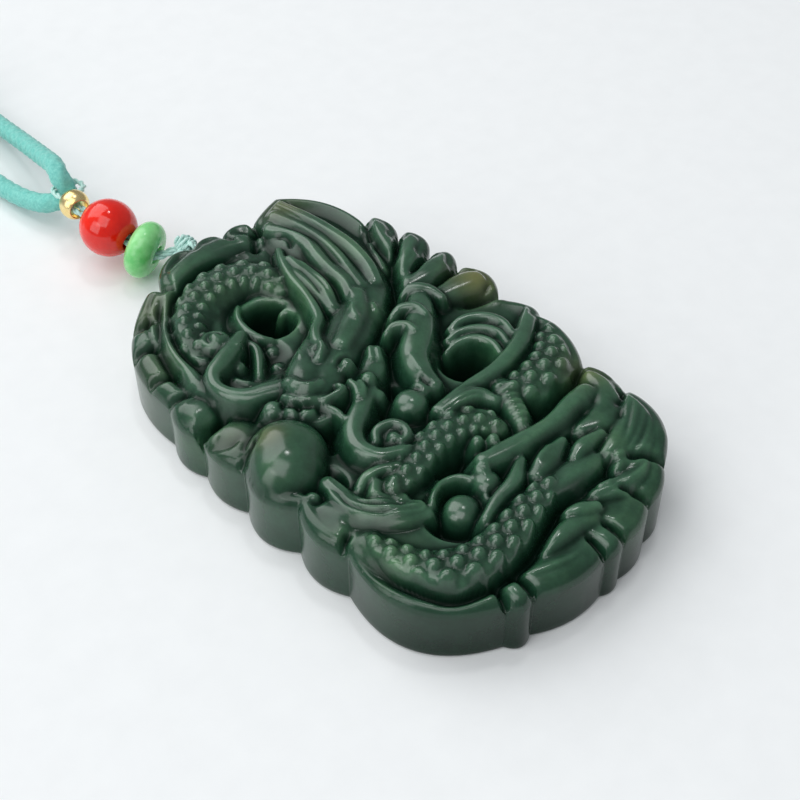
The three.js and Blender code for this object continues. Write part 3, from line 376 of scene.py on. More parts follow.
# Fine lines cut into the forms (below zero) or raised on them: height, half width, level, points.
FINE_LINES = {
    "rim_valley": (-1.1, 0.6, 7.4, [(-16.2, 11), (-15.9, 14), (-15.3, 16.6), (-14.6, 18.6), (-13.2, 20.8),
        (-11.8, 22.8), (-10.2, 24.4)]),
    "cloud_gap_1": (-1.1, 0.6, 7.2, [(-16.2, 23.4), (-14.4, 22.6), (-12.6, 22.2)]),
    "cloud_gap_2": (-0.9, 0.45, 7, [(-18.8, 15.3), (-17.4, 14.6), (-15.8, 14)]),
    "cloud_gap_3": (-1.1, 0.6, 7, [(-18.4, 19.4), (-16.6, 19.4), (-14.8, 18.6)]),
    "rim_curl": (-0.4, 0.3, 7.6, [(-16.7, -7.6), (-16, -8.5), (-15, -8), (-15.4, -6.9)]),
    "coil_edge": (-1, 0.45, 8.2, [(-13.3, 13.2), (-13.3, 15), (-13, 17.5), (-12, 20.3), (-10.5, 22.3),
        (-8.5, 24.1), (-6, 25.4), (-3.5, 26), (-1, 25.9), (1, 25)]),
    "coil_lip": (0.35, 0.3, 8.4, [(-12.3, 18.6), (-12.7, 16.8), (-12.6, 15.2), (-12, 14.3), (-11.2, 14)]),
    "hole_edge": (-0.6, 0.6, 8.2, [(-7.3, 15.4), (-7, 17.4), (-5.6, 19), (-3.6, 19.6), (-1.4, 19.4)]),
    "scroll_turn": (-0.5, 0.28, 8.8, [(-10.2, 15), (-10.1, 16.2), (-9.3, 16.8), (-8.6, 16.2), (-8.8, 15.4)]),
    "field_lick": (0.35, 0.3, 7.6, [(-11.9, 10), (-11.4, 8.8), (-10.8, 8.1)]),
    "field_spot": (0.3, 0.35, 7.7, [(-9.2, 12.1), (-8.7, 12.5)]),
    "nose_hair_1": (0.3, 0.28, 9.6, [(-4.1, 8.8), (-5, 7.4)]),
    "nose_hair_2": (0.3, 0.28, 9.7, [(-2.8, 8.1), (-3.8, 6.6)]),
    "nose_hair_3": (0.35, 0.3, 9.7, [(-2, 7.9), (-2.5, 6.9), (-3.5, 6.1)]),
    "tip_line": (0.3, 0.28, 10, [(-7.6, 5.7), (-7.4, 4.4), (-6.8, 3.7), (-6.1, 3.5)]),
    "lip_line": (0.35, 0.28, 9.5, [(-9.6, 4.2), (-9.2, 3.1), (-8.5, 2.4), (-7.7, 1.7)]),
    "lip_under": (-0.6, 0.35, 9.2, [(-10.2, 3.4), (-9.4, 2.3), (-8.2, 1.2)]),
    "tooth_cut_1": (-0.5, 0.28, 8.8, [(-10.3, 3.6), (-11.6, 2)]),
    "tooth_cut_2": (-0.5, 0.28, 8.8, [(-9.3, 2.5), (-10.5, 0.8)]),
    "lid_upper": (0.3, 0.28, 9.9, [(-2.9, 4.5), (-1.9, 5), (-1, 5)]),
    "lid_lower": (0.3, 0.28, 9.8, [(-3.2, 3.7), (-2.7, 3), (-2.4, 2.3)]),
    "eye_cut": (-0.45, 0.3, 9.9, [(-2.9, 4.2), (-1.8, 4.8), (-1.1, 4.7), (-0.8, 3.9)]),
    "leaf_vein": (-0.3, 0.25, 9.4, [(2.9, 13.4), (3.6, 16), (4, 19)]),
    "leaf_edge": (0.3, 0.35, 9.4, [(3.6, 12.6), (4.3, 14.2), (4.9, 16.2), (5.2, 18.2), (4.9, 20.4)]),
    "lock_cut_1": (-0.35, 0.35, 9.5, [(5.2, 13), (5.6, 16), (5.9, 19), (6.6, 21.5)]),
    "lock_cut_2": (-0.45, 0.4, 9.4, [(7.2, 14.4), (7.6, 17), (8.1, 19.4), (8.3, 21.5), (8, 24), (7, 26.6)]),
    "lock_cut_3": (-0.35, 0.35, 9.5, [(8.4, 12.4), (9.2, 15.5), (9.6, 18.6), (9.7, 22), (9.3, 26)]),
    "lock_cut_4": (-0.4, 0.3, 9, [(5.6, 22), (6.4, 23.6), (5.8, 25.2)]),
    "mane_top": (-0.8, 0.5, 8.2, [(2.6, 24.6), (3.6, 26.2), (4.6, 27.6)]),
    "mane_edge": (-1.2, 0.55, 8.6, [(6.2, 6.6), (8, 8), (9.6, 9.4), (11, 11.2), (12.2, 13.4), (13, 16.2),
        (13.8, 18.6)]),
    "hair_1": (0.3, 0.35, 9.8, [(3, 7.5), (3.6, 9.3), (4.6, 10.4)]),
    "hair_2": (0.3, 0.35, 9.6, [(5.6, 7.6), (6.4, 9.4)]),
    "leg_edge": (0.2, 0.3, 9.6, [(3.4, 0.5), (3, -1), (2.6, -2.8)]),
    "toe_cut_1": (-0.4, 0.25, 9.2, [(0.6, -2.4), (0.9, -4)]),
    "toe_cut_2": (-0.4, 0.25, 9.1, [(2, -2.6), (2.1, -4.2)]),
    "leaf_arc": (0.3, 0.35, 9, [(0.2, -8.1), (2, -8.3), (3.4, -9.2), (4.3, -10.3), (4.4, -11.4)]),
    "plate_line": (-0.4, 0.3, 8.7, [(-7.2, -13.1), (-4.6, -12.3), (-1.8, -11.7)]),
    "arm_shade": (-0.8, 0.6, 8.6, [(5, -14.1), (8, -14.2), (11, -13.3), (14.2, -13)]),
    "arm_under": (-0.7, 0.45, 8.8, [(1.6, -16.9), (6, -17.1), (8.6, -17), (12, -16.3)]),
    "ribbon_1": (-0.35, 0.22, 8.2, [(-14.1, -9), (-14, -11), (-13, -12.9), (-11.6, -14)]),
    "ribbon_2": (-0.35, 0.22, 8.3, [(-13.6, -7.2), (-13.6, -9.3), (-12.9, -11.5), (-11, -13.2),
        (-10, -14.3)]),
    "ribbon_3": (-0.35, 0.22, 8.3, [(-13, -8.6), (-12.6, -10.5), (-11.2, -12.2), (-10, -13.7)]),
    "finger_cut_1": (-0.3, 0.25, 9.2, [(-2.2, -14.8), (-1.4, -15.9)]),
    "finger_cut_2": (-0.3, 0.25, 9.3, [(-0.9, -13.2), (0.9, -13.8)]),
    "pearl_arc": (0.3, 0.35, 8, [(-8.5, -15.6), (-7.4, -15), (-6, -14.8)]),
    "flank_ridge": (0.3, 0.4, 9.1, [(2, -18.4), (3.6, -17.6), (5.4, -17)]),
    "tail_curve": (-0.4, 0.3, 8.2, [(7.5, -21.8), (7.2, -23), (6.6, -24)]),
    "tail_lick_1": (0.3, 0.3, 7.9, [(7.8, -23.2), (9.3, -23.8)]),
    "tail_lick_2": (0.3, 0.3, 7.8, [(6.5, -24.1), (8, -24.3)]),
    "tail_lick_3": (0.3, 0.3, 7.6, [(4.2, -24.4), (6, -25)]),
    "crescent_cut_1": (-0.25, 0.18, 7.1, [(-17.5, -14.8), (-17.8, -18), (-17.4, -21), (-16.4, -23.6)]),
    "crescent_cut_2": (-0.25, 0.18, 7.1, [(-18.2, -16), (-18.3, -18.5), (-17.8, -21.6)]),
    "body_groove": (-1.2, 0.55, 7.5, [(-16.9, -14.4), (-17.1, -18), (-16.1, -21.5), (-14.2, -24.6),
        (-10, -26), (-6, -26), (-3.6, -25.2), (0, -23.9), (3.6, -23.7), (6.4, -24)]),
}

# Creases that run inwards from the outline's notches, at their true places: depth, half width, points.
CREASES = {
    "left_top": (-1, 0.4, [(-18.4, 13.6), (-16.4, 12.8), (-15.2, 12.3)]),
    "left_middle": (-1.5, 0.4, [(-18.6, 7.5), (-16.4, 7.4), (-14.2, 7.6)]),
    "left_low": (-0.9, 0.4, [(-18.4, 1.1), (-16.4, 1.4), (-14.4, 2.2)]),
    "shoulder": (-1, 0.36, [(-17.8, -14), (-16.4, -12.6), (-15.2, -12)]),
    "lobe_scoop": (-0.3, 1.2, [(-16.9, 6), (-16.4, 4.8), (-16, 3.4)]),
    "bottom_left": (-1.4, 0.36, [(-10.2, -28), (-9.8, -26.2), (-9.4, -24.8)]),
    "bottom_ball": (-1.4, 0.36, [(-7.2, -28.7), (-7.3, -26.6), (-7.4, -24.9)]),
    "bottom_middle": (-1.1, 0.36, [(0.5, -30), (0.6, -27.8), (0.6, -26.4)]),
    "bottom_right": (-1.1, 0.36, [(3.5, -29.8), (3.2, -27.8), (2.8, -26.2)]),
    "tail_1": (-1, 0.36, [(8.7, -28.4), (7.8, -26.2), (6.6, -24.6)]),
    "tail_2": (-1, 0.36, [(13, -26.4), (11.4, -24.2), (9.4, -22.9)]),
    "tail_3": (-0.5, 0.3, [(18.1, -16.1), (15.6, -17.4), (13.6, -18.4)]),
    "haunch": (-0.5, 0.3, [(17.5, -11.2), (15.4, -11.9), (13.6, -12.6)]),
    "fin_1": (-1, 0.4, [(18.8, 1.8), (16.2, 2.6), (13.8, 3.6)]),
    "fin_2": (-1.2, 0.36, [(18.8, 8.4), (16, 7.8), (13.2, 7.2)]),
    "fin_3": (-1.2, 0.36, [(17.7, 12.3), (15, 11.2), (12.6, 10.2)]),
    "fin_4": (-1.2, 0.36, [(17.2, 16.9), (14.6, 14.8), (12.6, 13)]),
    "fin_5": (-1, 0.36, [(16.2, 21.6), (14.4, 19.2), (13.4, 17.6)]),
    "top_right": (-0.9, 0.36, [(5.9, 30.3), (5.6, 28.4), (5.2, 26.8)]),
    "top_middle": (-0.7, 0.36, [(2, 31), (2, 29.2), (2.4, 28)]),
    "top_left": (-0.8, 0.36, [(-8.8, 27.8), (-8, 26.4), (-7.2, 25.6)]),
}

# Warmer stone: its colour, and its spots at their true places with radius and strength.
WARM_STONE = (0.075, 0.085, 0.026, 1.0)
WARM_SPOTS = {
    "fin": (17.4, 5, 2.6, 0.9),
    "pearl": (-14.4, 0.6, 1.5, 0.5),
    "rim": (-15.4, 18, 2.6, 0.15),
    "rim_top": (-11.4, 25.6, 2.4, 0.4),
    "mane": (9.8, 28.2, 2.4, 0.6),
    "lobe": (-15.8, 4.8, 2, 0.2),
    "tail": (15.6, -12.6, 2.4, 0.5),
}

# Patterns on a form fade out at its edge, and scales and plates also sink a little into it.
PATTERN_EDGE = 1.05
PATTERN_FADE = 0.3
SCALE_SINK = 0.2
PLATE_SINK = 0.6

# Scales on the dragon's body: step along it, spacing across, radius of a scale, height.
SCALES = {
    "coil_body": (0.95, 3.2, 0.56, 0.5),
    "body_right": (1.1, 3, 0.68, 0.55),
    "body_middle": (0.85, 2.8, 0.5, 0.5),
    "body_bottom": (1.05, 2.6, 0.66, 0.6),
}

# Plates across a form: spacing and height.
PLATES = {"belly": (0.8, 0.25)}

# Fine grooves along a form: spacing and height.
GROOVES = {
    "leaf": (0.7, 0.1),
    "ribbon": (0.75, 0.12),
    "lock_leaf": (0.8, 0.07),
    "lock_middle": (0.7, 0.08),
    "lock_long": (0.7, 0.08),
    "lock_broad": (0.7, 0.08),
    "rim_crescent": (0.7, 0.08),
    "tail_large": (0.9, 0.07),
    "tail_low": (0.9, 0.07),
    "tail_end": (0.8, 0.07),
    "fin_top": (1, 0.05),
    "fin_upper": (1, 0.05),
}


def to_metres(points):
    """Layout millimetres to the frame's metres."""
    return (np.asarray(points, float) - (*MIDDLE, 0.0)) * MM


def spline(points, steps, closed=False, dims=3):
    """Centripetal curve through the points, spaced by their first coordinates, with steps per stretch."""
    p = np.asarray(points, float)
    before = p[-1:] if closed else 2 * p[:1] - p[1:2]
    after = p[:2] if closed else 2 * p[-1:] - p[-2:-1]
    q = np.vstack([before, p, after])
    made = []
    for a, b, c, d in zip(q, q[1:], q[2:], q[3:]):
        gaps = [np.linalg.norm((n - m)[:dims]) ** 0.5 for m, n in ((a, b), (b, c), (c, d))]
        k0, k1, k2, k3 = np.cumsum([0.0, *gaps])
        t = np.linspace(k1, k2, steps, endpoint=False)[:, None]

        def mix(u, v, low, high):
            return u * (high - t) / (high - low) + v * (t - low) / (high - low)

        ab, bc, cd = mix(a, b, k0, k1), mix(b, c, k1, k2), mix(c, d, k2, k3)
        made.append(mix(mix(ab, bc, k0, k2), mix(bc, cd, k1, k3), k1, k2))
    if not closed:
        made.append(p[-1:])
    return np.vstack(made)


def distances(path):
    """Distance along the path at each of its points."""
    return np.concatenate([[0.0], np.cumsum(np.linalg.norm(np.diff(path, axis=0), axis=1))])


def evenly(path, step, closed=False):
    """The path again, with points about a step apart."""
    path = np.vstack([path, path[:1]]) if closed else path
    along = distances(path)
    count = max(2, int(round(along[-1] / step)))
    stops = np.linspace(0.0, along[-1], count + 1)
    if closed:
        stops = stops[:-1]
    return np.stack([np.interp(stops, along, path[:, k]) for k in range(path.shape[1])], axis=1)


def carried_frames(path, closed=False):
    """Two side directions at each point of the path, carried along it without twist."""
    ahead = np.roll(path, -1, axis=0) - np.roll(path, 1, axis=0)
    if not closed:
        ahead[0] = path[1] - path[0]
        ahead[-1] = path[-1] - path[-2]
    ahead /= np.linalg.norm(ahead, axis=1)[:, None]
    side = np.cross(ahead[0], UP)
    sides = []
    for way in ahead:
        side = side - way * np.dot(side, way)
        side /= np.linalg.norm(side)
        sides.append(side)
    sides = np.array(sides)
    return sides, np.cross(ahead, sides)


def new_mesh(name, points, faces, finish):
    """A smooth object from layout points and faces, with its material."""
    mesh = bpy.data.meshes.new(name)
    mesh.from_pydata(to_metres(points).tolist(), [], [list(map(int, f)) for f in faces])
    mesh.validate()
    mesh.update()
    mesh.polygons.foreach_set("use_smooth", [True] * len(mesh.polygons))
    mesh.materials.append(finish)
    piece = bpy.data.objects.new(name, mesh)
    bpy.context.scene.collection.objects.link(piece)
    return piece


def ring_faces(rings, sides, closed=False):
    """Quads between successive rings of points, with end caps where the tube is open."""
    i = np.arange(rings if closed else rings - 1)[:, None]
    j = np.arange(sides)[None, :]
    k, m = (i + 1) % rings, (j + 1) % sides
    quads = np.stack(np.broadcast_arrays(i * sides + j, i * sides + m, k * sides + m, k * sides + j), -1)
    faces = quads.reshape(-1, 4).tolist()
    if not closed:
        faces.append(list(range(sides))[::-1])
        faces.append([(rings - 1) * sides + j for j in range(sides)])
    return faces


def swept(path, radius_at, sides, closed=False):
    """Points of a tube along the path. radius_at(along, angle) gives its radius."""
    a, b = carried_frames(path, closed)
    angle = np.linspace(0.0, 2 * np.pi, sides, endpoint=False)
    radius = radius_at(distances(path)[:, None], angle[None, :])[..., None]
    spokes = np.cos(angle)[None, :, None] * a[:, None] + np.sin(angle)[None, :, None] * b[:, None]
    return (path[:, None] + radius * spokes).reshape(-1, 3)


def even_radius(radius):
    """A radius for swept that is the same all along and all round."""
    return lambda along, angle: radius + 0 * along * angle


def camera():
    made = bpy.data.objects.new("camera", bpy.data.cameras.new("camera"))
    bpy.context.scene.collection.objects.link(made)
    made.location = to_metres(CAMERA_AT)
    way = Vector(to_metres(CAMERA_LOOKS_AT)) - made.location
    made.rotation_euler = way.to_track_quat("-Z", "Y").to_euler()
    made.data.sensor_width = SENSOR_MM
    made.data.lens = SENSOR_MM * FOCAL_PIXELS / PHOTO_PIXELS
    made.data.clip_start = CLIP_START
    bpy.context.scene.camera = made


# Materials

def material(name):
    """A new material, a helper that adds nodes to it, and one that sets its shader's inputs."""
    made = bpy.data.materials.new(name)
    made.use_nodes = True
    tree = made.node_tree

    def put(target, inputs):
        for key, value in inputs.items():
            if isinstance(value, bpy.types.NodeSocket):
                tree.links.new(value, target.inputs[key])
            else:
                target.inputs[key].default_value = value

    def node(kind, inputs=None, **settings):
        added = tree.nodes.new(kind)
        for key, value in settings.items():
            setattr(added, key, value)
        put(added, inputs or {})
        return added

    def finish(inputs):
        put(tree.nodes["Principled BSDF"], inputs)

    return made, node, finish


def noise(node, scale, detail, roughness=0.5):
    """A cloudy pattern that stays in place on the object."""
    place = node("ShaderNodeTexCoord").outputs["Object"]
    inputs = {"Vector": place, "Scale": scale, "Detail": detail, "Roughness": roughness}
    return node("ShaderNodeTexNoise", inputs).outputs["Fac"]


def ramp(node, factor, *stops):
    """Colour ramp node output with (place, colour) stops."""
    made = node("ShaderNodeValToRGB", {"Fac": factor})
    elements = made.color_ramp.elements
    while len(elements) < len(stops):
        elements.new(0.5)
    for element, (place, colour) in zip(elements, stops):
        element.position = place
        element.color = (*colour, 1.0)
    return made.outputs["Color"]


def grey(level):
    return (level, level, level)


def mixed(node, factor, first, second, way="MIX"):
    """Two colours mixed by a factor."""
    inputs = {"Factor": factor, "A": first, "B": second}
    return node("ShaderNodeMix", inputs, data_type="RGBA", blend_type=way).outputs["Result"]


def bumps(node, pattern, strength, distance):
    inputs = {"Height": pattern, "Strength": strength, "Distance": distance}
    return node("ShaderNodeBump", inputs).outputs["Normal"]


def jade_material():
    made, node, finish = material("jade")
    cloud = noise(node, 90.0, 5.0, 0.6)
    veins = noise(node, 420.0, 6.0, 0.7)
    green = ramp(
        node, cloud,
        (0.3, (0.009, 0.037, 0.021)), (0.55, (0.015, 0.056, 0.03)), (0.75, (0.032, 0.088, 0.043)),
    )
    fine = ramp(node, veins, (0.35, (0.75, 0.8, 0.75)), (0.7, (1.25, 1.2, 1.2)))
    veined = mixed(node, 1.0, green, fine, "MULTIPLY")
    warm = node("ShaderNodeAttribute", attribute_name="warm").outputs["Fac"]
    tinted = mixed(node, warm, veined, WARM_STONE)
    hollow = node("ShaderNodeAttribute", attribute_name="hollow").outputs["Fac"]
    # Painted shade and highlight: the hollow mark darkens hollows, creases and lower walls, and lightens the
    # crests.
    dark = ramp(
        node, hollow,
        (0.0, (2.2, 2.0, 1.9)), (0.4, grey(1.0)), (0.6, (0.45, 0.5, 0.5)),
        (0.8, (0.25, 0.3, 0.31)), (1.0, (0.14, 0.18, 0.19)),
    )
    gloss = ramp(
        node, hollow, (0.0, grey(0.75)), (0.45, grey(0.34)), (0.75, grey(0.1)), (1.0, grey(0.03)),
    )
    finish({
        "Base Color": mixed(node, 1.0, tinted, dark, "MULTIPLY"),
        "Specular IOR Level": gloss,
        "Roughness": ramp(node, veins, (0.3, grey(0.15)), (0.7, grey(0.26))),
        "Normal": bumps(node, veins, 0.1, 0.0002),
        "IOR": 1.58,
        "Subsurface Weight": 0.15,
        "Subsurface Radius": (0.5, 1.0, 0.5),
        "Subsurface Scale": 0.0012,
    })
    return made


def stone_material(name, dark, light, scale, roughness):
    made, node, finish = material(name)
    cloud = noise(node, scale, 4.0, 0.6)
    finish({
        "Base Color": ramp(node, cloud, (0.35, dark), (0.7, light)),
        "Normal": bumps(node, cloud, 0.04, 0.0002),
        "Roughness": roughness,
        "Subsurface Weight": 0.35,
        "Subsurface Radius": (1.0, 0.8, 0.6),
        "Subsurface Scale": 0.001,
        "Coat Weight": 0.2,
        "Coat Roughness": 0.05,
    })
    return made


def gilt_material():
    made, node, finish = material("gilt")
    wear = noise(node, 900.0, 4.0)
    finish({
        "Base Color": ramp(node, wear, (0.3, (0.92, 0.68, 0.26)), (0.7, (1.0, 0.82, 0.44))),
        "Roughness": ramp(node, wear, (0.3, grey(0.22)), (0.7, grey(0.32))),
        "Metallic": 1.0,
    })
    return made


def yarn_material(name, dark, light, scale):
    made, node, finish = material(name)
    fuzz = noise(node, scale, 5.0, 0.7)
    finish({
        "Base Color": ramp(node, fuzz, (0.3, dark), (0.7, light)),
        "Normal": bumps(node, fuzz, 0.4, 0.0001),
        "Roughness": 0.7,
        "Sheen Weight": 0.3,
        "Sheen Roughness": 0.4,
    })
    return made


def floor_material():
    made, node, finish = material("floor")
    paper = noise(node, 300.0, 3.0)
    finish({
        "Base Color": ramp(node, paper, (0.3, (0.86, 0.88, 0.89)), (0.7, (0.88, 0.9, 0.91))),
        "Roughness": 0.9,
    })
    return made


# Cords

def coil_route():
    """The coil's turns: three rows inwards on the lower layer, up, and three rows outwards on the upper."""
    row = 2 * CORD_RADIUS
    outer = COIL_MEAN_RADIUS + (COIL_ROWS - 1) * CORD_RADIUS
    inner = COIL_MEAN_RADIUS - (COIL_ROWS - 1) * CORD_RADIUS
    middle = outer - row
    low = COIL_LIFT + CORD_RADIUS
    high = low + row
    stops = [
        (0, outer, low), (310, outer, low), (360, middle, low), (670, middle, low), (720, inner, low),
        (980, inner, low), (1030, inner, high), (1290, inner, high), (1340, middle, high),
        (1650, middle, high), (1700, outer, high), (COIL_END, outer, high),
    ]
    bearing, radius, height = np.array(stops, float).T
    turn = np.arange(0.0, bearing[-1] + 1e-6, COIL_STEP)
    r = np.interp(turn, bearing, radius)
    z = np.interp(turn, bearing, height)
    a = np.radians(turn)
    return np.stack([COIL_MIDDLE[0] + r * np.cos(a), COIL_MIDDLE[1] + r * np.sin(a), z], axis=1)


def neck_cord(braid):
    """One braided cord from the fold, through the coil, and back to the fold."""
    route = np.vstack([[CORD_FOLD], CORD_UPPER[2:], coil_route(), CORD_LOWER[:1:-1], [CORD_FOLD]])
    path = evenly(spline(route, 8), CORD_STEP)
    turns = 2 * np.pi / BRAID_PITCH

    def radius_at(along, angle):
        over = BRAID_OVER * np.cos(4 * turns * along)
        right = np.abs(np.sin(2 * (angle - turns * along))) * (BRAID_STRAND + over)
        left = np.abs(np.sin(2 * (angle + turns * along))) * (BRAID_STRAND - over)
        return CORD_RADIUS * (BRAID_CORE + BRAID_SWELL * np.maximum(right, left))

    points = swept(path, radius_at, BRAID_SIDES)
    piece = new_mesh("neck_cord", points, ring_faces(len(path), BRAID_SIDES), braid)
    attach(piece, BODY)
    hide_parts("neck_cord_upper", "neck_cord_lower", "neck_cord_coil")
    return piece, to_metres(path)


def unit(way):
    return np.asarray(way, float) / np.linalg.norm(way)


# Directions of the bores, and how far the thread runs straight on each side of a bead's middle.
GREEN_WAY = unit(GREEN["way"])
RED_WAY = unit(np.array(GOLD["at"]) - np.array(GREEN["at"]))
GOLD_WAY = unit(GOLD["way"])
BORES = (
    (GREEN["at"], GREEN_WAY, GREEN["thickness"] / 2),
    (RED["at"], RED_WAY, 0.9 * RED["radius"]),
    (GOLD["at"], GOLD_WAY, 0.8 * GOLD["radius"]),
)


def upright(way):
    """The most upward direction square to the way."""
    return unit(np.array(UP) - way * way[2])


def sideways(way):
    """The level direction to the right of the way."""
    return unit(np.cross(way, UP))


def tunnel_route():
    x, y, z = TUNNEL_MOUTH
    route = [(x - TUNNEL_HALF_WIDTH, y, z)]
    for degrees in range(180, 361, 36):
        a = math.radians(degrees)
        turn = (TUNNEL_HALF_WIDTH * math.cos(a), TUNNEL_HALF_WIDTH * math.sin(a))
        route.append((x + turn[0], y - TUNNEL_DEPTH + turn[1], z))
    route.append((x + TUNNEL_HALF_WIDTH, y, z))
    return route


def thread_route():
    """The thread's closed loop: through the plaque, the beads, and round the neck cord's fold."""
    def strand(aside):
        stops = [(THREAD_KNOT, GREEN_WAY, 0.0)]
        for at, way, reach in BORES:
            stops.extend([(at, way, -reach), (at, way, reach)])
        return [np.array(at) + way * along + sideways(way) * aside for at, way, along in stops]

    fold = np.array(CORD_FOLD)
    onward = unit(fold - np.array(GOLD["at"]))
    beside = sideways(onward)
    wrap = [
        fold + THREAD_HUG * (onward * math.cos(math.radians(d)) + beside * math.sin(math.radians(d)))
        for d in FOLD_WRAP
    ]
    x, y, z = TUNNEL_MOUTH
    left = (x - TUNNEL_HALF_WIDTH, y + 2 * TUNNEL_RADIUS, z)
    right = (x + THREAD_LEAN * TUNNEL_HALF_WIDTH, y + 2 * TUNNEL_RADIUS, z + TUNNEL_RADIUS)
    apart = THREAD_SPACING / 2
    return np.array([*tunnel_route(), right, *strand(apart), *wrap, *strand(-apart)[::-1], left])


def twisted_thread(name, path, closed, yarn, radius=THREAD_RADIUS):
    """A thread of two plies twisted along the path."""
    a, b = carried_frames(path, closed)
    along = distances(path)
    whole = along[-1] + (np.linalg.norm(path[0] - path[-1]) if closed else 0.0)
    twist = 2 * np.pi * max(1, round(whole / TWIST_LENGTH)) / whole * along
    points, faces = [], []
    for ply in (0.0, math.pi):
        spoke = np.cos(twist + ply)[:, None] * a + np.sin(twist + ply)[:, None] * b
        line = path + PLY_OFFSET * radius * spoke
        start = len(points)
        points.extend(swept(line, even_radius(PLY_RADIUS * radius), PLY_SIDES, closed).tolist())
        faces.extend([[start + k for k in f] for f in ring_faces(len(path), PLY_SIDES, closed)])
    piece = new_mesh(name, points, faces, yarn)
    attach(piece, BODY)
    return piece


def knot(yarn):
    """The knot that gathers the thread's two strands before the green bead."""
    lift = upright(GREEN_WAY)
    across = np.cross(GREEN_WAY, lift)
    turn = np.linspace(0.0, 2 * np.pi * KNOT_TURNS, 16 * KNOT_TURNS)[:, None]
    along = KNOT_LENGTH * (turn / turn[-1] - 0.5)
    swell = KNOT_RADIUS * (1 - KNOT_TAPER * (2 * along / KNOT_LENGTH) ** 2)
    path = np.array(THREAD_KNOT) + along * GREEN_WAY + swell * (np.cos(turn) * lift + np.sin(turn) * across)
    twisted_thread("knot", evenly(path, THREAD_STEP), False, yarn)


def coil_tie(number, bearing, yarn):
    """A tie of a few turns of thread round the coil's section."""
    half = COIL_ROWS * CORD_RADIUS + GAP + TIE_THREAD / 2
    low = COIL_LIFT - GAP / 2
    high = COIL_LIFT + 2 * COIL_LAYERS * CORD_RADIUS + GAP + TIE_THREAD / 2
    corner = TIE_CORNER
    section = []
    for cx, cz, start in ((half, low, -90), (half, high, 0), (-half, high, 90), (-half, low, 180)):
        for step in (0, 30, 60, 90):
            a = math.radians(start + step)
            section.append((cx - math.copysign(corner, cx) + corner * math.cos(a),
                            cz + (corner if cz == low else -corner) + corner * math.sin(a)))
    section = np.array(section)
    count = TIE_TURNS * len(section) + 1
    k = np.arange(count)
    across = section[k % len(section)]
    width = (k / (count - 1) - 0.5) * (TIE_WIDTH - 2 * TIE_THREAD)
    a = math.radians(bearing)
    out, side = np.array((math.cos(a), math.sin(a))), np.array((-math.sin(a), math.cos(a)))
    flat = np.array(COIL_MIDDLE) + (COIL_MEAN_RADIUS + across[:, :1]) * out + width[:, None] * side
    path = evenly(spline(np.column_stack([flat, across[:, 1]]), 4), CORD_STEP)
    piece = twisted_thread(f"tie_{number}", path, False, yarn, TIE_THREAD)
    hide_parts(f"coil_tie_{number}")
    return piece


# Beads

def turned(name, profile, at, way, finish, node):
    """A bead turned about its bore: profile of (radius, along) from mouth to mouth, closed along the bore."""
    lift = upright(way)
    across = np.cross(way, lift)
    angle = np.linspace(0.0, 2 * np.pi, BEAD_SIDES, endpoint=False)
    spokes = np.cos(angle)[:, None] * lift + np.sin(angle)[:, None] * across
    points = np.vstack([np.array(at) + along * way + radius * spokes for radius, along in profile])
    piece = new_mesh(name, points, ring_faces(len(profile), BEAD_SIDES, closed=True), finish)
    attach(piece, BODY)
    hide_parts(node)


def round_profile(radius):
    """Outside of a round bead, with softened bore mouths, then back through the bore."""
    soft = ROUND_SOFT
    mouth = math.asin((BEAD_BORE_RADIUS + soft) / radius)
    arc = np.linspace(math.pi - mouth, mouth, 40)
    outside = [(radius * math.sin(a), radius * math.cos(a)) for a in arc]
    end = outside[-1][1]
    bore = [(BEAD_BORE_RADIUS + 0.3 * soft, end + 0.2 * soft), (BEAD_BORE_RADIUS, end - 0.6 * soft)]
    back = [(BEAD_BORE_RADIUS, -end + 0.6 * soft), (BEAD_BORE_RADIUS + 0.3 * soft, -end - 0.2 * soft)]
    return outside + bore + back


def abacus_profile(radius, thickness):
    """Outside of a round-edged disc with softened bore mouths, then back through the bore."""
    half = thickness / 2
    soft = ABACUS_SOFT
    arc = [math.radians(degrees) for degrees in np.linspace(-90, 90, 25)]
    outside = [(radius - half + half * math.cos(a), half * math.sin(a)) for a in arc]
    first = [(BEAD_BORE_RADIUS + soft, -half)]
    last = [(BEAD_BORE_RADIUS + soft, half), (BEAD_BORE_RADIUS + 0.3 * soft, half - 0.3 * soft)]
    bore = [(BEAD_BORE_RADIUS, half - soft), (BEAD_BORE_RADIUS, -half + soft)]
    return first + outside + last + bore + [(BEAD_BORE_RADIUS + 0.3 * soft, -half + 0.3 * soft)]


# Jade

def bow(start, end, bulge, step):
    """Points along the arc from one corner to the next, bulging to the right of the way."""
    a, b = np.array(start[:2]), np.array(end[:2])
    chord = b - a
    count = max(2, math.ceil(np.linalg.norm(chord) / step))
    side = np.array((chord[1], -chord[0])) / np.linalg.norm(chord)
    t = np.arange(count)[:, None] / count
    return a + chord * t + side * 4 * bulge * t * (1 - t)


def outline_points(step):
    corners = zip(OUTLINE, OUTLINE[1:] + OUTLINE[:1])
    return np.vstack([bow(start, end, start[2], step) for start, end in corners])


def nearest(points, line):
    """Nearest place on a polyline: distance, place along it in segments, and side."""
    best = np.full(len(points), 1e9)
    along = np.zeros(len(points))
    side = np.zeros(len(points))
    for i, (a, b) in enumerate(zip(line[:-1, :2], line[1:, :2])):
        way = b - a
        off = points - a
        t = np.clip(off @ way / max(way @ way, 1e-12), 0.0, 1.0)
        gap = off - t[:, None] * way
        d = np.hypot(gap[:, 0], gap[:, 1])
        closer = d < best
        best[closer] = d[closer]
        along[closer] = i + t[closer]
        side[closer] = np.sign(way[0] * off[closer, 1] - way[1] * off[closer, 0])
    return best, along, side


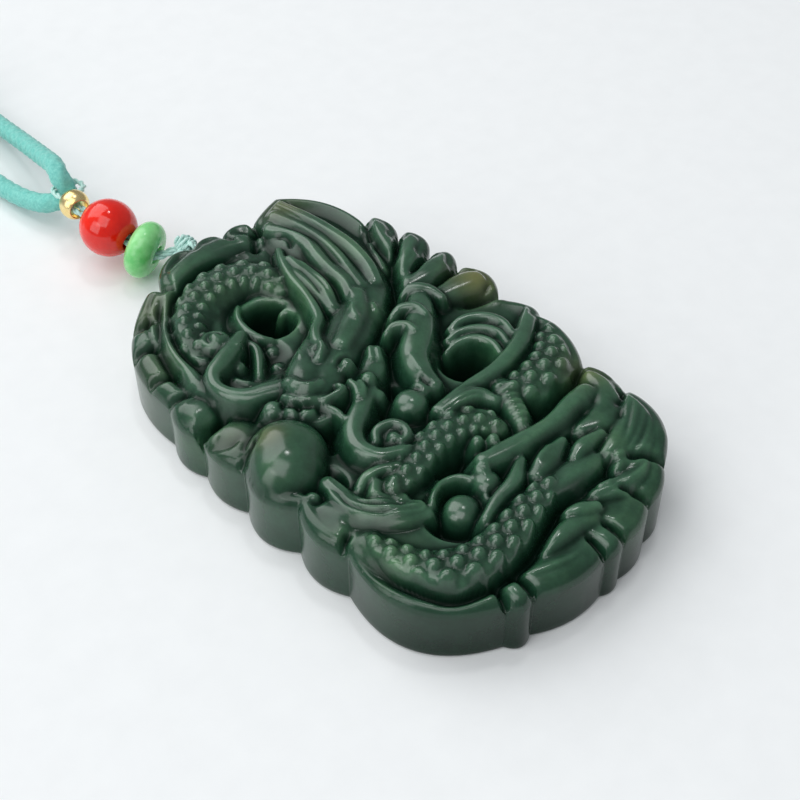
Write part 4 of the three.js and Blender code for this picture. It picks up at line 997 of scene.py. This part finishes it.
def inside(points, outline):
    """Whether each point lies inside, by the crossings of a line to its right."""
    within = np.zeros(len(points), bool)
    x, y = points.T
    for (ax, ay), (bx, by) in zip(outline, np.roll(outline, -1, axis=0)):
        if ay == by:
            continue
        crosses = (ay > y) != (by > y)
        within ^= crosses & (x < (bx - ax) * (y - ay) / (by - ay) + ax)
    return within


def in_place(x, y, height):
    """True place of a point that the camera sees at x, y on the crest level."""
    off = CREST_LEVEL - height
    return x + off * SIGHT[0], y + off * SIGHT[1]


def rounded(crest, half, distance):
    """Height of a rounded form at a distance from its crest, with a steep flank past its half width."""
    across = np.minimum(distance / half, 1.0)
    drop = half * ROUNDNESS * (1 - np.sqrt(1 - across**2))
    steep = FLANK_SLOPE * (1 + np.clip(1 - half, 0.0, FLANK_STEEPER))
    return crest - drop - steep * np.maximum(0.0, distance - half)


def scale_pattern(along, across, pitch, row, radius):
    """Round scales in staggered rows, 0 in the gaps and 1 on the crowns."""
    best = np.zeros_like(along)
    column = np.floor(along / pitch)
    for step in (-1, 0, 1):
        i = column + step
        shift = 0.5 * np.mod(i, 2)
        v = across / row - shift
        near = np.hypot(along - (i + 0.5) * pitch, (v - np.round(v)) * row) / radius
        best = np.maximum(best, np.sqrt(np.clip(1 - near**2, 0.0, 1.0)))
    return best


def smooth_max(a, b):
    """The higher of two heights, with a fillet where they meet."""
    return np.maximum(a, b) + np.maximum(BLEND - np.abs(a - b), 0.0) ** 2 / (4 * BLEND)


class Relief:
    """Height field of the carved face on a fine grid."""

    def __init__(self, outline):
        across = int(2 * GRID_HALF[0] / GRID_STEP) + 1
        upward = int(2 * GRID_HALF[1] / GRID_STEP) + 1
        self.x = MIDDLE[0] + (np.arange(across) - (across - 1) / 2) * GRID_STEP
        self.y = MIDDLE[1] + (np.arange(upward) - (upward - 1) / 2) * GRID_STEP
        self.gx, self.gy = np.meshgrid(self.x, self.y)
        points = np.column_stack([self.gx.ravel(), self.gy.ravel()])
        distance, _, _ = nearest(points, np.vstack([outline, outline[:1]]))
        self.inset = np.where(inside(points, outline), distance, -distance).reshape(self.gx.shape)
        self.wall, self.roll = rim_at(self.gx, self.gy)
        edge = self.wall + self.roll
        lift = np.maximum(0.0, edge - GROUND) * np.exp(-((self.inset / LIFT_REACH) ** 2))
        self.height = np.minimum(GROUND + lift, edge + GROUND_SLOPE * (self.inset - self.roll))

    def window(self, line, margin):
        """Rows, columns and points of the grid near a line."""
        low, high = line[:, :2].min(0) - margin, line[:, :2].max(0) + margin
        cols = slice(*np.searchsorted(self.x, (low[0], high[0])))
        rows = slice(*np.searchsorted(self.y, (low[1], high[1])))
        points = np.column_stack([self.gx[rows, cols].ravel(), self.gy[rows, cols].ravel()])
        return (rows, cols), points

    def raise_to(self, place, height):
        shape = self.height[place].shape
        self.height[place] = smooth_max(self.height[place], height.reshape(shape))

    def hollow(self, x, y, radius, depth):
        near = np.hypot(self.gx - x, self.gy - y) / radius
        self.height -= depth * np.clip(1 - near**2, 0.0, 1.0)

    def strand(self, stops, scales=None, plates=None, grooves=None):
        line = spline([(*in_place(x, y, z), z, w) for x, y, z, w in stops], 8, dims=2)
        place, points = self.window(line, STRAND_REACH)
        distance, along, side = nearest(points, line)
        count = np.arange(len(line))
        crest, half = np.interp(along, count, line[:, 2]), np.interp(along, count, line[:, 3])
        height = rounded(crest, half, distance)
        s = np.interp(along, count, distances(line[:, :2]))
        fade = np.clip((PATTERN_EDGE - distance / half) / PATTERN_FADE, 0.0, 1.0)
        if scales:
            *pattern, rise = scales
            height += rise * fade * (scale_pattern(s, side * distance, *pattern) - SCALE_SINK)
        if plates:
            pitch, rise = plates
            height += rise * fade * (np.abs(np.sin(np.pi * s / pitch)) - PLATE_SINK)
        if grooves:
            pitch, rise = grooves
            height += rise * fade * np.cos(2 * np.pi * side * distance / pitch)
        self.raise_to(place, height)

    def dome(self, x, y, crest, radius):
        x, y = in_place(x, y, crest)
        place, points = self.window(np.array([[x, y]]), radius + DOME_REACH)
        self.raise_to(place, rounded(crest, radius, np.hypot(points[:, 0] - x, points[:, 1] - y)))

    def fine_line(self, rise, half, level, stops):
        line = spline([in_place(x, y, level) for x, y in stops], 8, dims=2)
        place, points = self.window(line, 3 * half)
        distance, along, _ = nearest(points, line)
        share = along / (len(line) - 1)
        taper = np.clip(TAPER * share, TAPER_END, 1.0) * np.clip(TAPER * (1 - share), TAPER_END, 1.0)
        added = rise * taper * np.exp(-((distance / half) ** 2))
        self.height[place] += added.reshape(self.height[place].shape)

    def rim(self):
        depth = np.maximum(self.inset, 0.0)
        cap = rolled(depth, self.wall, self.roll) + RIM_SLOPE * np.maximum(0.0, depth - self.roll)
        self.height = np.minimum(self.height, cap)

    def ball(self, x, y, far_x, far_y, base, radius, rise):
        """A half ball that runs out to the outline as a round-topped wall."""
        points = np.column_stack([self.gx.ravel(), self.gy.ravel()])
        distance, _, _ = nearest(points, np.array([(x, y), (far_x, far_y)]))
        near = distance.reshape(self.gx.shape) / radius
        inward = np.clip(self.inset / radius, 0.0, 1.0)
        share = np.minimum(np.clip(1 - near**2, 0.0, 1.0), 1 - (1 - inward) ** 2)
        self.height = smooth_max(self.height, np.where(near < 1, base + rise * np.sqrt(share), 0.0))

    def at(self, field, points):
        """A field's value between the grid's points."""
        u = np.clip((points[:, 0] - self.x[0]) / GRID_STEP, 0, len(self.x) - 1.001)
        v = np.clip((points[:, 1] - self.y[0]) / GRID_STEP, 0, len(self.y) - 1.001)
        i, j = u.astype(int), v.astype(int)
        fu, fv = u - i, v - j
        low = field[j, i] * (1 - fu) + field[j, i + 1] * fu
        high = field[j + 1, i] * (1 - fu) + field[j + 1, i + 1] * fu
        return low * (1 - fv) + high * fv


def rim_at(x, y):
    """Wall height and roll radius of the rim at the bearing of a place."""
    bearing = np.degrees(np.arctan2(y - MIDDLE[1], x - MIDDLE[0]))
    stops = np.array(RIM, float).T
    return np.interp(bearing, stops[0], stops[1]), np.interp(bearing, stops[0], stops[2])


def rolled(inset, wall, roll):
    """Height of the rounded rim at a distance in from the outline."""
    return wall + np.sqrt(np.maximum(0.0, roll**2 - (roll - np.minimum(inset, roll)) ** 2))


def blurred(field, spread):
    """The field, smoothed by a bell curve of that spread in millimetres."""
    reach = max(1, int(3 * spread / GRID_STEP))
    steps = np.arange(-reach, reach + 1) * GRID_STEP
    bell = np.exp(-0.5 * (steps / spread) ** 2)
    bell /= bell.sum()
    for axis in (0, 1):
        padded = np.pad(field, [(reach, reach) if k == axis else (0, 0) for k in (0, 1)], mode="edge")
        size = field.shape[axis]
        field = sum(w * np.take(padded, np.arange(n, n + size), axis) for n, w in enumerate(bell))
    return field


def carved_relief(outline):
    relief = Relief(outline)
    for hollow in HOLLOWS.values():
        relief.hollow(*hollow)
    for name, stops in STRANDS.items():
        relief.strand(stops, SCALES.get(name), PLATES.get(name), GROOVES.get(name))
    for dome in DOMES.values():
        relief.dome(*dome)
    relief.rim()
    for ball in BALLS.values():
        relief.ball(*ball)
    for depth, half, stops in CREASES.values():
        relief.fine_line(depth, half, CREST_LEVEL, stops)
    for line in FINE_LINES.values():
        relief.fine_line(*line)
    relief.height = blurred(relief.height, POLISH)
    return relief


def kept_cells(relief):
    """Grid cells inside the rim, without two cells that meet only at a corner."""
    inset = relief.inset
    keep = (inset[:-1, :-1] + inset[1:, 1:] + inset[1:, :-1] + inset[:-1, 1:]) / 4 > TOP_INSET
    while True:
        a, b, c, d = keep[:-1, :-1], keep[:-1, 1:], keep[1:, :-1], keep[1:, 1:]
        pinched = ((a & d) & ~(b | c)) | ((b & c) & ~(a | d))
        if not pinched.any():
            return keep
        j, i = np.nonzero(pinched)
        for right, up in ((0, 0), (1, 0), (0, 1), (1, 1)):
            keep[j + up, i + right] = True


def rim_loop(quads):
    """The top's edge as one ordered loop of point numbers."""
    edges = dict.fromkeys((a, b) for q in quads for a, b in zip(q, (*q[1:], q[0])))
    follows = {a: b for a, b in edges if (b, a) not in edges}
    first = next(iter(follows))
    loop = [first]
    while follows[loop[-1]] != first:
        loop.append(follows[loop[-1]])
    if len(loop) != len(follows):
        raise ValueError("the carved face has more than one edge")
    return np.array(loop)


def on_outline(points, outline):
    """Each point's place on the outline, evened out along it."""
    line = np.vstack([outline, outline[:1]])
    stretch = distances(line)
    whole = stretch[-1]
    _, along, _ = nearest(points, line)
    s = np.interp(along, np.arange(len(line)), stretch)
    step = (np.roll(s, -1) - s + whole / 2) % whole - whole / 2
    s = s[0] + np.concatenate([[0.0], np.cumsum(step[:-1])])
    for _ in range(EVENING_ROUNDS):
        ahead, behind = np.roll(s, -1), np.roll(s, 1)
        ahead[-1] += whole
        behind[0] -= whole
        s = 0.5 * s + 0.25 * (ahead + behind)
    s = np.mod(s, whole)
    return np.column_stack([np.interp(s, stretch, line[:, k]) for k in (0, 1)])


def wall_rings(start, foot):
    """Rings of points from the carved face's edge, over the rim and down the wall to its rounded foot."""
    edge, crest = start[:, :2], start[:, 2]
    wall = np.minimum(rim_at(*foot.T)[0], crest)
    inward = edge - foot
    inward /= np.linalg.norm(inward, axis=1)[:, None]
    rings = []
    for share in ROLL_SHARES:
        flat = edge + (foot - edge) * share
        rings.append(np.column_stack([flat, wall + (crest - wall) * math.sqrt(1 - share)]))
    for share in WALL_SHARES:
        rings.append(np.column_stack([foot, share * wall]))
    for degrees in FOOT_DEGREES:
        a = math.radians(degrees)
        flat = foot + inward * FOOT_ROUND * (1 - math.cos(a))
        rings.append(np.column_stack([flat, np.full(len(foot), FOOT_ROUND * (1 - math.sin(a)))]))
    return rings


def plaque(finish):
    """The carved face on its grid, closed by the wall and the flat back."""
    outline = outline_points(OUTLINE_STEP)
    relief = carved_relief(outline)
    j, i = np.nonzero(kept_cells(relief))
    columns = len(relief.x)
    corner = j * columns + i
    quads = np.stack([corner, corner + 1, corner + columns + 1, corner + columns], axis=1)
    used, numbered = np.unique(quads, return_inverse=True)
    faces = numbered.reshape(-1, 4).tolist()
    top = np.column_stack([field.ravel()[used] for field in (relief.gx, relief.gy, relief.height)])
    loop = rim_loop(faces)
    rings = wall_rings(top[loop], on_outline(top[loop][:, :2], outline))
    before = loop
    for n in range(len(rings)):
        ring = len(top) + n * len(loop) + np.arange(len(loop))
        faces.extend(np.stack([np.roll(before, -1), before, ring, np.roll(ring, -1)], axis=1).tolist())
        before = ring
    faces.append(before[::-1].tolist())
    piece = new_mesh("jade", np.vstack([top, *rings]), faces, finish)
    drill(piece, finish)
    mark_stone(piece, relief)
    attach(piece, BODY)
    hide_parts("jade_plaque")


def drill(piece, finish):
    """Cuts the cord tunnel into the plaque's top edge."""
    path = evenly(spline(tunnel_route(), 6), TUNNEL_STEP)
    past = (0.0, 2.0, 0.0)
    path = np.vstack([path[0] + past, path, path[-1] + past])
    points = swept(path, even_radius(TUNNEL_RADIUS), TUNNEL_SIDES)
    cutter = new_mesh("cutter", points, ring_faces(len(path), TUNNEL_SIDES), finish)
    cut = piece.modifiers.new("tunnel", "BOOLEAN")
    cut.operation = "DIFFERENCE"
    cut.solver = "MANIFOLD"
    cut.object = cutter
    bpy.context.view_layer.objects.active = piece
    bpy.ops.object.modifier_apply(modifier=cut.name)
    bpy.data.objects.remove(cutter)


def painted_shade_marks(places, relief):
    """Painted shade by how deep each place lies in a hollow or crease: 0 on crests, 1 in the deepest hollows.
    """
    within = (relief.inset > 0).astype(float)
    slope = np.hypot(*np.gradient(relief.height, GRID_STEP))
    depth = np.zeros_like(relief.height)
    for spread, strength in PAINTED_HOLLOW_SHADE:
        around = blurred(relief.height * within, spread) / np.maximum(blurred(within, spread), 0.05)
        depth += strength * (around - relief.height)
    depth /= 1 + MARK_SLOPE * slope**2
    depth *= np.clip(relief.inset / RIM_MARK, 0.0, 1.0)
    depth += DEEP_PAINTED_SHADE * np.clip(DEEP_LEVEL - relief.height, 0.0, None) * (relief.inset > DEEP_INSET)
    value = np.clip(PLAIN_MARK + relief.at(depth, places), 0.0, 1.0)
    # On the wall the painted shade follows the place along the plaque and the height above the foot.
    wall = rim_at(*places[:, :2].T)[0]
    on_wall = np.clip((wall + WALL_BLEND - places[:, 2]) / WALL_BLEND, 0.0, 1.0)
    on_wall *= relief.at(relief.inset, places) < WALL_INSET
    shade = np.interp(places[:, 1], *PAINTED_WALL_SHADE)
    return value + (shade + PAINTED_FOOT_SHADE * (1 - places[:, 2] / wall) - value) * on_wall


def warm_marks(places):
    """How warm the stone is at each place."""
    warm = np.zeros(len(places))
    for x, y, radius, strength in WARM_SPOTS.values():
        warm += strength * np.exp(-((places[:, 0] - x) ** 2 + (places[:, 1] - y) ** 2) / radius**2)
    return warm


def mark_stone(piece, relief):
    """Stores the marks that the jade material reads on each point: painted shade and warm stone."""
    mesh = piece.data
    co = np.empty(3 * len(mesh.vertices))
    mesh.vertices.foreach_get("co", co)
    places = co.reshape(-1, 3) / MM + (*MIDDLE, 0.0)
    for name, marks in (("hollow", painted_shade_marks(places, relief)), ("warm", warm_marks(places))):
        mark = mesh.attributes.new(name, "FLOAT", "POINT")
        mark.data.foreach_set("value", marks.astype(np.float32))


# Stage

def floor():
    half = FLOOR_HALF
    points = [(-half, -half, 0), (half, -half, 0), (half, half, 0), (-half, half, 0)]
    mesh = bpy.data.meshes.new("floor")
    mesh.from_pydata(points, [], [(0, 1, 2, 3)])
    made = bpy.data.objects.new("floor", mesh)
    bpy.context.scene.collection.objects.link(made)
    mesh.materials.append(floor_material())


def softbox(name, at, size, power):
    """A square soft light that faces the plaque."""
    light = bpy.data.lights.new(name, "AREA")
    light.shape = "SQUARE"
    light.size = size
    light.energy = power
    made = bpy.data.objects.new(name, light)
    bpy.context.scene.collection.objects.link(made)
    made.location = at
    made.rotation_euler = (-Vector(at)).to_track_quat("-Z", "Y").to_euler()


def lighting():
    for name, (at, size, power) in LIGHTS.items():
        softbox(name, at, size, power)
    world = bpy.data.worlds.new("studio")
    bpy.context.scene.world = world
    world.use_nodes = True
    back = world.node_tree.nodes["Background"]
    back.inputs["Color"].default_value = SKY
    back.inputs["Strength"].default_value = SKY_STRENGTH
    bpy.context.scene.view_settings.view_transform = "Standard"


camera()
braid = yarn_material("braid", (0.1, 0.46, 0.41), (0.26, 0.68, 0.6), 2600.0)
yarn = yarn_material("thread", (0.4, 0.7, 0.64), (0.62, 0.86, 0.8), 3000.0)
cord, cord_path = neck_cord(braid)
ties = [coil_tie(n + 1, bearing, yarn) for n, bearing in enumerate(TIE_BEARINGS)]
loop_path = evenly(spline(thread_route(), 12, True), THREAD_STEP, True)
thread = twisted_thread("thread", loop_path, True, yarn)
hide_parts("thread_loop")
knot(yarn)
green_stone = stone_material("green_stone", (0.14, 0.58, 0.16), (0.36, 0.8, 0.36), 350.0, 0.15)
red_stone = stone_material("red_stone", (0.7, 0.008, 0.002), (0.9, 0.02, 0.005), 250.0, 0.12)
turned("bead_green", abacus_profile(GREEN["radius"], GREEN["thickness"]), GREEN["at"], GREEN_WAY,
       green_stone, "green_bead")
turned("bead_red", round_profile(RED["radius"]), RED["at"], RED_WAY, red_stone, "red_bead")
turned("bead_gold", round_profile(GOLD["radius"]), GOLD["at"], GOLD_WAY, gilt_material(), "gold_bead")
plaque(jade_material())
floor()
lighting()
